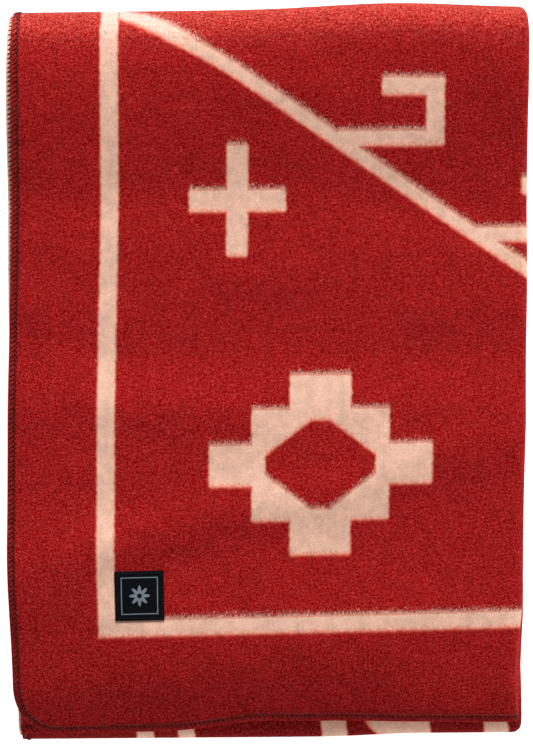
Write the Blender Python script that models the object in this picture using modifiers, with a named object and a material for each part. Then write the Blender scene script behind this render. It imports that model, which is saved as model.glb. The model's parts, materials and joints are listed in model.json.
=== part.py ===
"""A wool blanket with a woven label, folded to quarters both ways, as it lies on a shelf.

The cloth is folded in half and in half again across its width, which makes a strip four layers
thick. The strip is folded in half and in half again along its length, so sixteen layers lie on
each other. A two-way fold is one folded line carried along another: the first gives each point
of the cloth its place across the strip and its level in it, the second lays the strip in Y and Z.
The stack then settles: it leans, its edges wander and its height gives, most at the open end.

Metres, +Z up. +Y points to the big fold, -Y to the open end, -X to the two overlocked side edges.
The origin is on the surface under the middle of the stack.
"""

from math import pi

import bmesh
import bpy
import numpy as np

# The cloth as it is cut, and its rounded corners
CLOTH_WIDTH = 1.613
CLOTH_LENGTH = 2.262
CLOTH_THICKNESS = 0.003
CORNER_RADIUS = 0.036

# The folded stack: the pitch of the layers in a strip, and of the four strips
LAYER_PITCH = 0.0036
STRIP_PITCH = 0.0146
FRONT_EDGE_OUTSIDE_FOLD = 0.004    # the face's side edge lies this far outside the fold under it
BACK_EDGE_OUTSIDE_FRONT = 0.0036   # the second layer's side edge lies this far outside the face's
FRONT_END_INSIDE_FOLD = 0.015      # the top strip's end lies this far inside the fold under it
SECOND_END_INSIDE_FOLD = 0.017     # the same for the second strip's end

# The border woven round the face, whose inner corner holds the label
BORDER_INSET = 0.070
BORDER_BREADTH = 0.014

# The label
LABEL_SIZE = 0.0383
LABEL_THICKNESS = 0.001
LABEL_GAP = 0.0003

# Cells of the folding grid
LENGTH_RUN_CELLS = 7
WIDTH_RUN_CELLS = 8
WIDTH_TURN_CELLS = 5
LENGTH_TURN_CELLS = 8
CORNER_CELLS = 2
LABEL_CELLS = 6

# Side edges wander along the cloth: how far each lies outside its straight line, at these places
EDGE_WANDER_REACH = 0.150
EDGE_WANDER = (
    dict(along=0.00, front=0.0008, back=-0.0060),
    dict(along=0.22, front=0.0000, back=-0.0060),
    dict(along=0.36, front=0.0000, back=-0.0014),
    dict(along=0.49, front=0.0002, back=0.0008),
    dict(along=0.56, front=0.0014, back=0.0008),
    dict(along=0.62, front=0.0014, back=0.0004),
    dict(along=0.90, front=0.0015, back=-0.0050),
    dict(along=1.20, front=-0.0015, back=-0.0020),
    dict(along=1.60, front=0.0020, back=-0.0045),
    dict(along=1.95, front=-0.0015, back=-0.0010),
    dict(along=2.26, front=0.0005, back=-0.0035),
)

# Settling in X, for the upper two strips and the lower two, growing towards the open end
UPPER_LEAN = -0.0026
UPPER_NARROWING = 0.021
LOWER_LEAN = 0.0013
LOWER_NARROWING = 0.013
# The side folds lie unevenly: how far out they lie, at these places along Y
SIDE_FOLD_WANDER = (
    dict(y=-0.270, out=0.0010),
    dict(y=-0.235, out=-0.0006),
    dict(y=-0.190, out=0.0011),
    dict(y=-0.140, out=0.0001),
    dict(y=-0.100, out=0.0006),
    dict(y=-0.040, out=0.0021),
    dict(y=0.060, out=0.0020),
    dict(y=0.130, out=0.0010),
    dict(y=0.200, out=0.0013),
    dict(y=0.265, out=0.0023),
)

# Settling in Y: the strips lie a little askew, and the face's open end has a step in its edge
SKEW = 0.008
FACE_SKEW = 0.016
END_STEP_LEFT = -0.006
END_STEP_RIGHT = 0.001
END_SLOPE_RIGHT = -0.028
LOWER_END_LEFT = -0.0024
FOLD_BULGE = 0.0046
FOLD_BULGE_X = 0.100
FOLD_BULGE_HALF_WIDTH = 0.075

# Settling in Z: shares of the height, as steps along Y and as droops towards the edges. Where a
# row leans, its places move along Y by that share of x
HEIGHT_STEPS = (
    dict(start=-0.035, end=0.018, lean=0.0, change=-0.090),
    dict(start=0.142, end=0.222, lean=0.060, change=0.080),
)
HEIGHT_DROOPS = (
    dict(axis=1, start=-0.188, run=-0.085, lean=0.0, share=0.22),
    dict(axis=1, start=0.2394, run=0.070, lean=0.090, share=0.36),
    dict(axis=0, start=-0.160, run=-0.040, lean=0.0, share=0.03),
    dict(axis=0, start=0.170, run=0.035, lean=0.0, share=0.02),
)


def ease(value, start, end):
    """Runs smoothly from 0 at start to 1 at end, whichever of the two is larger."""
    share = np.clip((value - start) / (end - start), 0.0, 1.0)
    return share * share * (3.0 - 2.0 * share)


class FoldedLine:
    """A line folded in half and in half again, seen from its side.

    It runs out at level 1.5, turns down to -1.5, runs back, turns up to -0.5, runs out again,
    turns up inside the first turn to 0.5, and runs back: four runs and three half-circle turns.
    Levels count in pitches from the middle of the first turn.
    """

    def __init__(self, start, end, near, far, pitch):
        wide = 1.5 * pitch
        tight = 0.5 * pitch
        runs = (
            dict(first=start, last=far, level=wide),
            dict(first=far, last=near, level=-wide),
            dict(first=near, last=far, level=-tight),
            dict(first=far, last=end, level=tight),
        )
        turns = (
            dict(at=far, level=0.0, radius=wide, angle=pi / 2, sweep=-pi, side=1),
            dict(at=near, level=-2 * tight, radius=tight, angle=-pi / 2, sweep=-pi, side=1),
            dict(at=far, level=0.0, radius=tight, angle=-pi / 2, sweep=pi, side=-1),
        )
        self.pieces = []
        reached = 0.0
        for index, run in enumerate(runs):
            length = abs(run["last"] - run["first"])
            self.pieces.append(dict(run, begin=reached, length=length))
            reached += length
            if index < len(turns):
                turn = turns[index]
                length = pi * turn["radius"]
                self.pieces.append(dict(turn, begin=reached, length=length))
                reached += length
        self.length = reached

    def stations(self, run_cells, turn_cells):
        """Places along the line where a grid line crosses it, one list of cells for each piece."""
        places = [0.0]
        for piece in self.pieces:
            cells = turn_cells if "radius" in piece else run_cells
            steps = np.arange(1, cells + 1) / cells
            places.extend(piece["begin"] + piece["length"] * steps)
        return np.array(places)

    def at(self, along):
        """Place, level and front-facing normal of the points at these distances along the line."""
        place, level, normal_place, normal_level = np.zeros((4,) + along.shape)
        for piece in self.pieces:
            share = (along - piece["begin"]) / piece["length"]
            inside = (share >= -1e-9) & (share <= 1.0 + 1e-9)
            share = share[inside]
            if "radius" in piece:
                angle = piece["angle"] + piece["sweep"] * share
                place[inside] = piece["at"] + piece["radius"] * np.cos(angle)
                level[inside] = piece["level"] + piece["radius"] * np.sin(angle)
                normal_place[inside] = piece["side"] * np.cos(angle)
                normal_level[inside] = piece["side"] * np.sin(angle)
            else:
                place[inside] = piece["first"] + (piece["last"] - piece["first"]) * share
                level[inside] = piece["level"]
                normal_place[inside] = 0.0
                normal_level[inside] = np.sign(piece["last"] - piece["first"])
        return place, level, normal_place, normal_level


def width_line():
    """The cloth across the strip, its fold places worked out from the cloth's width."""
    turn_outside = 1.5 * LAYER_PITCH + CLOTH_THICKNESS / 2
    tuck = 0.5 * LAYER_PITCH + CLOTH_THICKNESS / 2 + FRONT_EDGE_OUTSIDE_FOLD
    turns = pi * 2.5 * LAYER_PITCH
    runs = CLOTH_WIDTH - turns + 2 * tuck - BACK_EDGE_OUTSIDE_FRONT
    span = runs / 4
    far = (span + BACK_EDGE_OUTSIDE_FRONT - turn_outside) / 2
    start = far - span
    return FoldedLine(start, start - BACK_EDGE_OUTSIDE_FRONT, start + tuck, far, LAYER_PITCH)


def length_line():
    """The strip along the stack, its fold places worked out from the cloth's length."""
    half_strip = 1.5 * LAYER_PITCH + CLOTH_THICKNESS / 2
    turns = pi * 2.5 * STRIP_PITCH
    runs = CLOTH_LENGTH - turns + FRONT_END_INSIDE_FOLD + SECOND_END_INSIDE_FOLD
    fold_outside = 0.5 * STRIP_PITCH + half_strip
    runs -= 2 * fold_outside
    span = runs / 4
    far_outside = 1.5 * STRIP_PITCH + half_strip
    far = (span + fold_outside - far_outside - FOLD_BULGE) / 2
    near = far - span
    open_end = near - fold_outside
    start = open_end + FRONT_END_INSIDE_FOLD
    end = open_end + SECOND_END_INSIDE_FOLD
    return FoldedLine(start, end, near, far, STRIP_PITCH)


def round_corners(across, along, width, length):
    """Draws the square corner patches of the flat cloth in to quarter circles."""
    from_side = np.minimum(across, width - across)
    from_end = np.minimum(along, length - along)
    s = np.clip(1.0 - from_side / CORNER_RADIUS, 0.0, 1.0)
    t = np.clip(1.0 - from_end / CORNER_RADIUS, 0.0, 1.0)
    in_patch = (s > 0.0) & (t > 0.0)
    rounded_side = CORNER_RADIUS * (1.0 - s * np.sqrt(1.0 - t * t / 2.0))
    rounded_end = CORNER_RADIUS * (1.0 - t * np.sqrt(1.0 - s * s / 2.0))
    from_side = np.where(in_patch, rounded_side, from_side)
    from_end = np.where(in_patch, rounded_end, from_end)
    across = np.where(across < width / 2, from_side, width - from_side)
    along = np.where(along < length / 2, from_end, length - from_end)
    return across, along


def edge_wander(across, along, width):
    """How far each point moves towards the side edges' own uneven line, in -X."""
    places = [row["along"] for row in EDGE_WANDER]
    front = np.interp(along, places, [row["front"] for row in EDGE_WANDER])
    back = np.interp(along, places, [row["back"] for row in EDGE_WANDER])
    near_front = 1.0 - ease(across, 0.0, EDGE_WANDER_REACH)
    near_back = 1.0 - ease(width - across, 0.0, EDGE_WANDER_REACH)
    return front * near_front + back * near_back


def fold(across, along, lift=0.0):
    """Places points of the flat cloth in the straight-folded stack, lift off its face."""
    wide = width_line()
    long = length_line()
    across, along = round_corners(across, along, wide.length, long.length)
    x, level, normal_x, normal_level = wide.at(across)
    x = x + lift * normal_x - edge_wander(across, along, wide.length)
    level = level + lift * normal_level
    y, z, normal_y, normal_z = long.at(along)
    middle = 1.5 * STRIP_PITCH + 1.5 * LAYER_PITCH + CLOTH_THICKNESS / 2
    return np.stack([x, y + level * normal_y, middle + z + level * normal_z], axis=-1)


def settle(points):
    """Moves the straight-folded stack's points to where the soft stack comes to lie."""
    x, y, z = points.T
    upper = ease(z, 0.022, 0.040)
    lean_upper = UPPER_LEAN * ease(y, 0.150, -0.050)
    lean_lower = LOWER_LEAN * ease(y, -0.100, -0.290)
    narrow_upper = UPPER_NARROWING * ease(y, -0.130, -0.255)
    narrow_lower = LOWER_NARROWING * ease(y, -0.100, -0.290)
    lean = lean_lower + (lean_upper - lean_lower) * upper
    narrow = narrow_lower + (narrow_upper - narrow_lower) * upper
    places = [row["y"] for row in SIDE_FOLD_WANDER]
    out = np.interp(y, places, [row["out"] for row in SIDE_FOLD_WANDER])
    x = x * (1.0 - narrow) + lean + out * ease(x, 0.0, 0.190)

    skew = SKEW + FACE_SKEW * upper * ease(y, 0.100, -0.200)
    step = END_STEP_LEFT + (END_STEP_RIGHT - END_STEP_LEFT) * ease(x, -0.080, 0.0)
    step = step + END_SLOPE_RIGHT * np.clip(x, 0.0, None)
    lower_step = LOWER_END_LEFT * ease(x, 0.125, 0.040) * (1.0 - upper)
    bulge = FOLD_BULGE * np.exp(-((x - FOLD_BULGE_X) / FOLD_BULGE_HALF_WIDTH) ** 2)
    step = step * upper + lower_step
    y = y + skew * x + step * ease(y, -0.200, -0.275) + bulge * ease(y, 0.150, 0.270)

    height = 1.0
    for row in HEIGHT_STEPS:
        height = height + row["change"] * ease(y - row["lean"] * x, row["start"], row["end"])
    for row in HEIGHT_DROOPS:
        place, other = (x, y) if row["axis"] == 0 else (y, x)
        reach = np.clip((place - row["lean"] * other - row["start"]) / row["run"], 0.0, None)
        height = height - row["share"] * reach * reach
    return np.stack([x, y, z * height], axis=-1)


def sheet(name, across, along, lift, thickness, collection, material):
    """A grid laid through the folds, thickened with Solidify, and settled with the stack."""
    grid = bmesh.new()
    bmesh.ops.create_grid(grid, x_segments=len(across) - 1, y_segments=len(along) - 1, size=1.0)
    corners = np.array([vertex.co[:2] for vertex in grid.verts])
    cells = np.array([len(across) - 1, len(along) - 1])
    column, row = np.rint((corners + 1.0) / 2.0 * cells).astype(int).T
    for vertex, point in zip(grid.verts, fold(across[column], along[row], lift)):
        vertex.co = point
    mesh = bpy.data.meshes.new(name)
    grid.to_mesh(mesh)
    grid.free()

    thing = bpy.data.objects.new(name, mesh)
    collection.objects.link(thing)
    shell = thing.modifiers.new("Thickness", "SOLIDIFY")
    shell.thickness = thickness
    shell.offset = 0.0
    shell.use_even_offset = True
    thick = bpy.data.meshes.new_from_object(thing.evaluated_get(bpy.context.evaluated_depsgraph_get()))
    thing.modifiers.clear()
    thing.data = thick
    bpy.data.meshes.remove(mesh)
    thick.name = name

    points = np.empty(len(thick.vertices) * 3, dtype=np.float32)
    thick.vertices.foreach_get("co", points)
    settled = settle(points.reshape(-1, 3).astype(float))
    thick.vertices.foreach_set("co", settled.astype(np.float32).ravel())
    thick.shade_smooth()
    thick.materials.append(material)
    thick.update()
    return thing


def with_corner_lines(places):
    """Adds the grid lines of the rounded corners at both ends of a list of places."""
    steps = CORNER_RADIUS * np.arange(1, CORNER_CELLS + 1) / CORNER_CELLS
    return np.unique(np.concatenate([places, steps, places[-1] - steps]))


def plain_material(name, colour, roughness):
    material = bpy.data.materials.new(name)
    material.use_nodes = True
    shader = material.node_tree.nodes["Principled BSDF"]
    shader.inputs["Base Color"].default_value = (*colour, 1.0)
    shader.inputs["Roughness"].default_value = roughness
    shader.inputs["Metallic"].default_value = 0.0
    return material


def make_blanket(collection):
    across = with_corner_lines(width_line().stations(WIDTH_RUN_CELLS, WIDTH_TURN_CELLS))
    along = with_corner_lines(length_line().stations(LENGTH_RUN_CELLS, LENGTH_TURN_CELLS))
    wool = plain_material("Red wool", (0.33, 0.012, 0.010), 0.95)
    return sheet("blanket", across, along, 0.0, CLOTH_THICKNESS, collection, wool)


def make_label(collection):
    inner_corner = BORDER_INSET + BORDER_BREADTH
    places = inner_corner + LABEL_SIZE * np.arange(LABEL_CELLS + 1) / LABEL_CELLS
    lift = CLOTH_THICKNESS / 2 + LABEL_GAP + LABEL_THICKNESS / 2
    weave = plain_material("Black label weave", (0.022, 0.027, 0.033), 0.7)
    return sheet("label", places, places, lift, LABEL_THICKNESS, collection, weave)


def main():
    for thing in list(bpy.data.objects):
        bpy.data.objects.remove(thing, do_unlink=True)
    collection = bpy.data.collections.new("Folded wool blanket")
    bpy.context.scene.collection.children.link(collection)
    make_blanket(collection)
    make_label(collection)


main()
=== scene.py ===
"""Looks of a wool blanket folded to quarters both ways, laid out as an add-on.

The blanket is one woven, brushed cloth. It is folded in half twice across its width and twice
along its length, so sixteen layers lie on each other. Every surface here is worked out from the
flat cloth: a point of it is (across, along), both in metres, and lift is the height off its
middle. Across runs from the face's side edge, along from the face's open end. The woven pattern,
the brushed wool and the sewn edge all read those two lengths, so they follow the folds.

Metres, +Z up. +Y points to the big fold, -Y to the open end, -X to the two sewn side edges.
"""

import json
from math import cos, pi, radians, sin

import bpy
import numpy as np
from bpy.props import FloatProperty, FloatVectorProperty, IntProperty, PointerProperty
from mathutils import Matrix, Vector

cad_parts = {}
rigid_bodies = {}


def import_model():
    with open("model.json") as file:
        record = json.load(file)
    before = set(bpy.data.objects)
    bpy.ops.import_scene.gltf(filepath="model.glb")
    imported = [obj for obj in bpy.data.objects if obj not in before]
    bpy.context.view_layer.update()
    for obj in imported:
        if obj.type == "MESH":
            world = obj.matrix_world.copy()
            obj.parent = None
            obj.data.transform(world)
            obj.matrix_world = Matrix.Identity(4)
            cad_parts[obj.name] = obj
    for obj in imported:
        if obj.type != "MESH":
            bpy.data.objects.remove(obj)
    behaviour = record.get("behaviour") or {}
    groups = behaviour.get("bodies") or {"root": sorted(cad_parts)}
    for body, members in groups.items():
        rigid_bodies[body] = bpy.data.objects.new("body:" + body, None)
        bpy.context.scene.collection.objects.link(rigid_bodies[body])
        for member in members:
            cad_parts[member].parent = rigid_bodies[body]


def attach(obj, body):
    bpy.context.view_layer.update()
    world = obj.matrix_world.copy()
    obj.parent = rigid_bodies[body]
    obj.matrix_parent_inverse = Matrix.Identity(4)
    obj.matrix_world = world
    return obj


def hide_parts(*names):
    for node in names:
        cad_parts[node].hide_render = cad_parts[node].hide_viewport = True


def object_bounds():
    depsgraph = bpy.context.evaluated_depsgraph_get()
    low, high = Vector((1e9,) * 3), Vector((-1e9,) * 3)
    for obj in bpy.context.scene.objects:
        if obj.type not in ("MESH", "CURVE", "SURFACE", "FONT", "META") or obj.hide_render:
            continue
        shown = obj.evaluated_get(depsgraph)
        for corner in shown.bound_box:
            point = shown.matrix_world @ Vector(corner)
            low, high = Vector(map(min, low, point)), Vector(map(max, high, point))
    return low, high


bl_info = {
    "name": "Folded wool blanket",
    "version": (1, 0, 0),
    "blender": (4, 5, 0),
    "location": "3D View > Sidebar > Blanket",
    "description": "Dresses a folded wool blanket: cloth, brushed wool, sewn edge, label and stage",
    "category": "Add Mesh",
}

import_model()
CAD_BOX = [list(corner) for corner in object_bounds()]

# The folded stack
LAYER_PITCH = 0.0036
STRIP_PITCH = 0.0146
FRONT_EDGE_OUTSIDE_FOLD = 0.004
BACK_EDGE_OUTSIDE_FRONT = 0.0036
FRONT_END_INSIDE_FOLD = 0.015
SECOND_END_INSIDE_FOLD = 0.017

# Side edges wander along the cloth: how far each lies outside its straight line, at these places
EDGE_WANDER_REACH = 0.150
EDGE_WANDER = (
    dict(along=0.00, front=0.0008, back=-0.0060),
    dict(along=0.22, front=0.0000, back=-0.0060),
    dict(along=0.36, front=0.0000, back=-0.0014),
    dict(along=0.49, front=0.0002, back=0.0008),
    dict(along=0.56, front=0.0014, back=0.0008),
    dict(along=0.62, front=0.0014, back=0.0004),
    dict(along=0.90, front=0.0015, back=-0.0050),
    dict(along=1.20, front=-0.0015, back=-0.0020),
    dict(along=1.60, front=0.0020, back=-0.0045),
    dict(along=1.95, front=-0.0015, back=-0.0010),
    dict(along=2.26, front=0.0005, back=-0.0035),
)

# A run holds the two places between which a move grows from nothing to its full size. Along Z,
# the moves of the upper strips grow in the first of these, and the creases in the second
UPPER_STRIPS_RUN = (0.022, 0.040)
CREASES_RUN = (0.036, 0.054)

# Settling in X, for the upper two strips and the lower two, growing towards the open end
UPPER_LEAN = -0.0026
UPPER_LEAN_RUN = (0.150, -0.050)
UPPER_NARROWING = 0.021
UPPER_NARROWING_RUN = (-0.130, -0.255)
LOWER_LEAN = 0.0013
LOWER_NARROWING = 0.013
LOWER_RUN = (-0.100, -0.290)
# The side folds lie unevenly: how far out they lie, at these places along Y
SIDE_FOLD_RUN = (0.0, 0.190)
SIDE_FOLD_WANDER = (
    dict(y=-0.270, out=0.0010),
    dict(y=-0.235, out=-0.0006),
    dict(y=-0.190, out=0.0011),
    dict(y=-0.140, out=0.0001),
    dict(y=-0.100, out=0.0006),
    dict(y=-0.040, out=0.0021),
    dict(y=0.060, out=0.0020),
    dict(y=0.130, out=0.0010),
    dict(y=0.200, out=0.0013),
    dict(y=0.265, out=0.0023),
)

# Settling in Y: the strips lie a little askew, the face's open end has a step in its edge, and
# the big fold bulges at the right
SKEW = 0.008
FACE_SKEW = 0.016
FACE_SKEW_RUN = (0.100, -0.200)
END_STEP_LEFT = -0.006
END_STEP_RIGHT = 0.001
END_STEP_RUN = (-0.080, 0.0)
END_SLOPE_RIGHT = -0.028
END_RUN = (-0.200, -0.275)
LOWER_END_LEFT = -0.0024
LOWER_END_RUN = (0.125, 0.040)
FOLD_BULGE = 0.0046
FOLD_BULGE_X = 0.100
FOLD_BULGE_HALF_WIDTH = 0.075
FOLD_BULGE_RUN = (0.150, 0.270)

# Settling in Z: shares of the height, as steps along Y and as droops towards the edges. Where a
# row leans, its places move along Y by that share of x
HEIGHT_STEPS = (
    dict(start=-0.035, end=0.018, lean=0.0, change=-0.090),
    dict(start=0.142, end=0.222, lean=0.060, change=0.080),
)
HEIGHT_DROOPS = (
    dict(axis=1, start=-0.188, run=-0.085, lean=0.0, share=0.22),
    dict(axis=1, start=0.2394, run=0.070, lean=0.090, share=0.36),
    dict(axis=0, start=-0.160, run=-0.040, lean=0.0, share=0.03),
    dict(axis=0, start=0.170, run=0.035, lean=0.0, share=0.02),
)

# Soft creases of the face: the crest's places in order, its half width and its rise
CREASES = (
    dict(
        crest=(
            (-0.122, -0.139),
            (-0.041, -0.113),
            (0.065, -0.096),
            (0.136, -0.066),
            (0.195, -0.055),
        ),
        half_width=0.021,
        rise=0.0025,
    ),
    dict(crest=((-0.200, -0.157), (-0.150, -0.151)), half_width=0.034, rise=0.0040),
    dict(crest=((0.130, -0.272), (0.205, -0.272)), half_width=0.034, rise=0.0026),
    dict(crest=((0.120, 0.045), (0.200, 0.052)), half_width=0.019, rise=0.0014),
    dict(crest=((-0.200, 0.051), (-0.150, 0.049)), half_width=0.018, rise=0.0010),
    dict(crest=((-0.120, -0.034), (-0.030, -0.033)), half_width=0.020, rise=0.0013),
    dict(crest=((0.015, -0.192), (0.120, -0.190)), half_width=0.027, rise=0.0014),
    dict(crest=((-0.025, 0.072), (0.045, 0.078)), half_width=0.016, rise=0.0009),
    dict(crest=((-0.130, -0.165), (-0.060, -0.150)), half_width=0.015, rise=-0.0008),
    dict(crest=((-0.200, 0.002), (-0.152, 0.000)), half_width=0.022, rise=0.0014),
    dict(crest=((0.182, 0.002), (0.205, 0.002)), half_width=0.022, rise=0.0012),
    dict(crest=((0.186, 0.234), (0.205, 0.232)), half_width=0.028, rise=0.0034),
    dict(crest=((0.110, 0.132), (0.205, 0.130)), half_width=0.028, rise=-0.0030),
    dict(crest=((-0.205, 0.137), (0.080, 0.133)), half_width=0.024, rise=-0.0014),
    dict(crest=((-0.205, -0.224), (-0.155, -0.222)), half_width=0.028, rise=-0.0018),
    dict(crest=((-0.030, 0.222), (0.040, 0.222)), half_width=0.018, rise=0.0012),
    dict(crest=((-0.110, -0.224), (0.090, -0.224)), half_width=0.030, rise=0.0017),
    dict(crest=((-0.200, -0.276), (0.080, -0.275)), half_width=0.018, rise=-0.0012),
)
RIPPLE = 0.00008
RIPPLE_COUNT = 14
RIPPLE_LENGTHS = (0.026, 0.070)
RIPPLE_SEED = 3

# Cells of the fine cloth: for each run and turn of the folded lines, in their order. Its rim is
# rounded, and stands out by a share of half the thickness
ACROSS_CELLS = (84, 8, 22, 6, 14, 6, 24)
ALONG_CELLS = (112, 16, 46, 10, 26, 10, 34)
CORNER_CELLS = 6
RIM_ANGLES = np.radians((54.0, 18.0, -18.0, -54.0))
RIM_BULGE = 0.3

# The colours' own map, OFBake: how much of it each part of the cloth gets, the gap between the
# two sides, and for the strands the margin, the reach and the size of one strand's spot
MAP_FACE_SHARE = 0.75
MAP_GAP = 0.01
MAP_ACROSS = ((0.0, 0.0), (0.43, 0.66), (1.613, 1.0))
MAP_ALONG = ((0.0, 0.0), (0.62, 0.46), (1.20, 0.80), (2.262, 1.0))
MAP_STRAND_MARGIN = 0.005
MAP_STRAND_REACH = 0.985
MAP_STRAND = 0.0016

# Bars of the woven pattern: centre and half size, in metres across and along
CROSS_BARS = (
    dict(centre=(0.1778, 0.411), half=(0.0085, 0.0445)),
    dict(centre=(0.1778, 0.411), half=(0.0382, 0.0093)),
)
DIAMOND_CENTRE = (0.2453, 0.2024)
DIAMOND_STEPS = (
    dict(half=(0.0239, 0.0716)),
    dict(half=(0.0538, 0.0446)),
    dict(half=(0.0873, 0.0169)),
)
LOZENGE_REACH = (0.0520, 0.0402)
LOZENGE_CLIP = (0.0430, 0.0345)
LOZENGE_STEEPNESS = 0.032
HOOK_BARS = (
    dict(centre=(0.2975, 0.4585), half=(0.0422, 0.0065)),
    dict(centre=(0.3325, 0.4783), half=(0.0071, 0.0262)),
    dict(centre=(0.3152, 0.4970), half=(0.0243, 0.0074)),
)
HOOK_START = 0.245
HOOK_STEP = 0.1095
HOOK_COUNT = 5
SLOPE = 0.69
SLOPE_START_ALONG = 0.5763
SLOPE_HALF_BREADTH = 0.0057
SLOPE_BEND = 0.0166
SLOPE_BEND_REACH = 0.100
BAR_CORNER = 0.0022
# Bars at the middle of the length, measured from the middle line
MIDDLE_BAND = 0.050
MIDDLE_BARS = (
    dict(centre=(0.0876, 0.0430), half=(0.0200, 0.0070)),
    dict(centre=(0.1008, 0.0250), half=(0.0070, 0.0250)),
    dict(centre=(0.1345, 0.0), half=(0.0067, 0.0400)),
    dict(centre=(0.2548, 0.0), half=(0.0100, 0.0460)),
    dict(centre=(0.3855, 0.0), half=(0.0098, 0.0460)),
)
FLAG_RIGHT = 0.3320
FLAG_MIDDLE_LEFT = 0.3190
FLAG_LEAN = 1.15
FLAG_HALF = 0.052

# The brushing: how far it draws and bends the pattern, and its noises, each with waves a metre,
# a stretch across and along the cloth, a detail and an offset
DRIFT_SCALE = 210.0
DRIFT = 0.0018
BEND = 0.0050
BEND_NOISE = dict(scale=240.0, stretch=(1.0, 0.7), offset=3.1)
HAIR_NOISE = dict(scale=2200.0, stretch=(1.0, 0.13), detail=1.5)
HAIR_RANGE = (0.26, 0.76)
HAIR_POWER = 1.6
WAVER_NOISE = dict(scale=700.0, stretch=(1.0, 0.6), offset=9.7)
WAVER_RANGE = (0.32, 0.68)
WAVER_REACH = (0.10, 0.80)
CURL_NOISE = dict(scale=1000.0, stretch=(1.0, 0.9), detail=3.0, offset=1.7)
CLUMP_NOISE = dict(scale=120.0, stretch=(1.0, 0.9), detail=3.0, offset=7.9)
CLUMP_RANGE = (0.3, 0.7)
# The felted ground: ways that its fibres lie, each a turn from the cloth's length and an offset
FIBRE_TURNS = ((0.75, 5.3), (-0.62, 11.9))
FIBRE_SCALE = 1350.0
FIBRE_STRETCH = (1.0, 2.8, 1.0)
GRAIN_RANGE = (0.540, 0.672)
RELIEF_SHARES = (0.5, 0.4, 0.35)
RELIEF_HEIGHT = 0.0006

# The colours of a dark and a light fibre, as factors of the wool's own
RED_FIBRES = ((0.74, 0.09, 0.11, 1.0), (1.48, 3.95, 3.85, 1.0))
CREAM_FIBRES = ((0.980, 0.91, 0.89, 1.0), (1.07, 1.14, 1.16, 1.0))
CLUMP_LIGHT = (0.91, 1.09)
# Painted light on the big fold, where it catches the low key light: where it lies, how far it
# reaches, how much shows, and the colours painted there, the red paler as a painted sheen and
# the cream darker to offset the strong light
BIG_FOLD_ALONG = 0.578
BIG_FOLD_REACH = 0.055
PAINTED_FOLD_LIGHT = 0.85
PAINTED_FOLD_LIGHT_RED = (0.385, 0.041, 0.029, 1.0)
PAINTED_FOLD_LIGHT_CREAM = (0.450, 0.362, 0.352, 1.0)
# Painted shade in the lower fold at the open end: where it lies, its reach, and how much darker
# the red is painted there
LOWER_FOLD_ALONG = 1.150
LOWER_FOLD_RUN = (0.040, 0.020)
LOWER_FOLD_PAINTED_SHADE = 0.34
# Where the two colours meet: how strongly each tint shows. The edge's own tint comes first, then
# painted shade on the red among cream's hairs above its upper edges, the glow of cream under red
# hairs, and the red just past an edge
EDGE_STRENGTH = 2.2
EDGE_TINT = (0.80, 0.150, 0.085, 1.0)
# Painted shade on the red just above the cream's upper edges
PAINTED_SHADE_STRENGTH = 0.25
PAINTED_SHADE_TINT = (0.16, 0.006, 0.008, 1.0)
HAIR_STRENGTH = 0.60
GLOW_STRENGTH = 0.66
GLOW_TINT = (0.92, 0.190, 0.110, 1.0)
UNDER_STRENGTH = 0.55
UNDER_TINT = (0.56, 0.050, 0.030, 1.0)

# The overlocked edge: places of one stitch's thread, in stitch lengths along and metres inwards
STITCH_PLACES = (
    dict(along=0.00, inwards=0.0050, side=1.0),
    dict(along=0.34, inwards=0.0038, side=1.0),
    dict(along=0.70, inwards=0.0023, side=1.0),
    dict(along=0.88, inwards=0.0014, side=0.8),
    dict(along=0.95, inwards=0.0006, side=0.0),
    dict(along=1.02, inwards=0.0014, side=-0.8),
    dict(along=1.16, inwards=0.0023, side=-1.0),
    dict(along=1.60, inwards=0.0050, side=-1.0),
)
STITCH_FLATNESS = 0.5
STITCH_UNEVENNESS = 0.04
STITCH_SEED = 11
# The chain that locks the stitches: two threads that cross in each stitch, the first over the
# second, and how far each stands off the cloth in radii of its own
CHAIN_LIFTS = (0.9, 0.4)
CHAIN_FLATNESS = 0.8
CHAIN_PLACES = (
    (
        dict(along=-0.12, inwards=0.0042),
        dict(along=0.20, inwards=0.0045),
        dict(along=0.70, inwards=0.0055),
        dict(along=1.02, inwards=0.0058),
    ),
    (
        dict(along=0.38, inwards=0.0058),
        dict(along=0.70, inwards=0.0055),
        dict(along=1.20, inwards=0.0045),
        dict(along=1.52, inwards=0.0042),
    ),
)
THREAD_SIDES = 4

# The label: the gap under it, its crown, its soft edge and its rim, as shares of its height
LABEL_GAP = 0.0003
LABEL_CELLS = 44
LABEL_CROWN = 0.00035
LABEL_EDGE_POWER = 14
LABEL_RIM_SHARES = (0.75, 0.45, 0.15)
LABEL_RIM_BULGE = 0.00018
# Its figure, in half sides of the label: the frame's line, and the flower
LABEL_FRAME_AT = 0.74
LABEL_FRAME_EDGE = (0.028, 0.012)
PETALS = 8.0
PETAL_REACH = (0.20, 0.42)
PETAL_EDGE = (0.02, -0.02)
FLOWER_HOLE = (0.08, 0.12)
# Its running stitches, and the places and lifts of one stitch's thread
LABEL_STITCHES_A_SIDE = 11
LABEL_STITCHES_AT = 0.92
LABEL_THREAD = (0.016, 0.018, 0.020)
LABEL_THREAD_RADIUS = 0.00022
LABEL_STITCH_SHARES = (-0.055, -0.03, 0.0, 0.03, 0.055)
LABEL_STITCH_LIFTS = (-0.0004, 0.00002, 0.00012, 0.00002, -0.0004)

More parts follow.
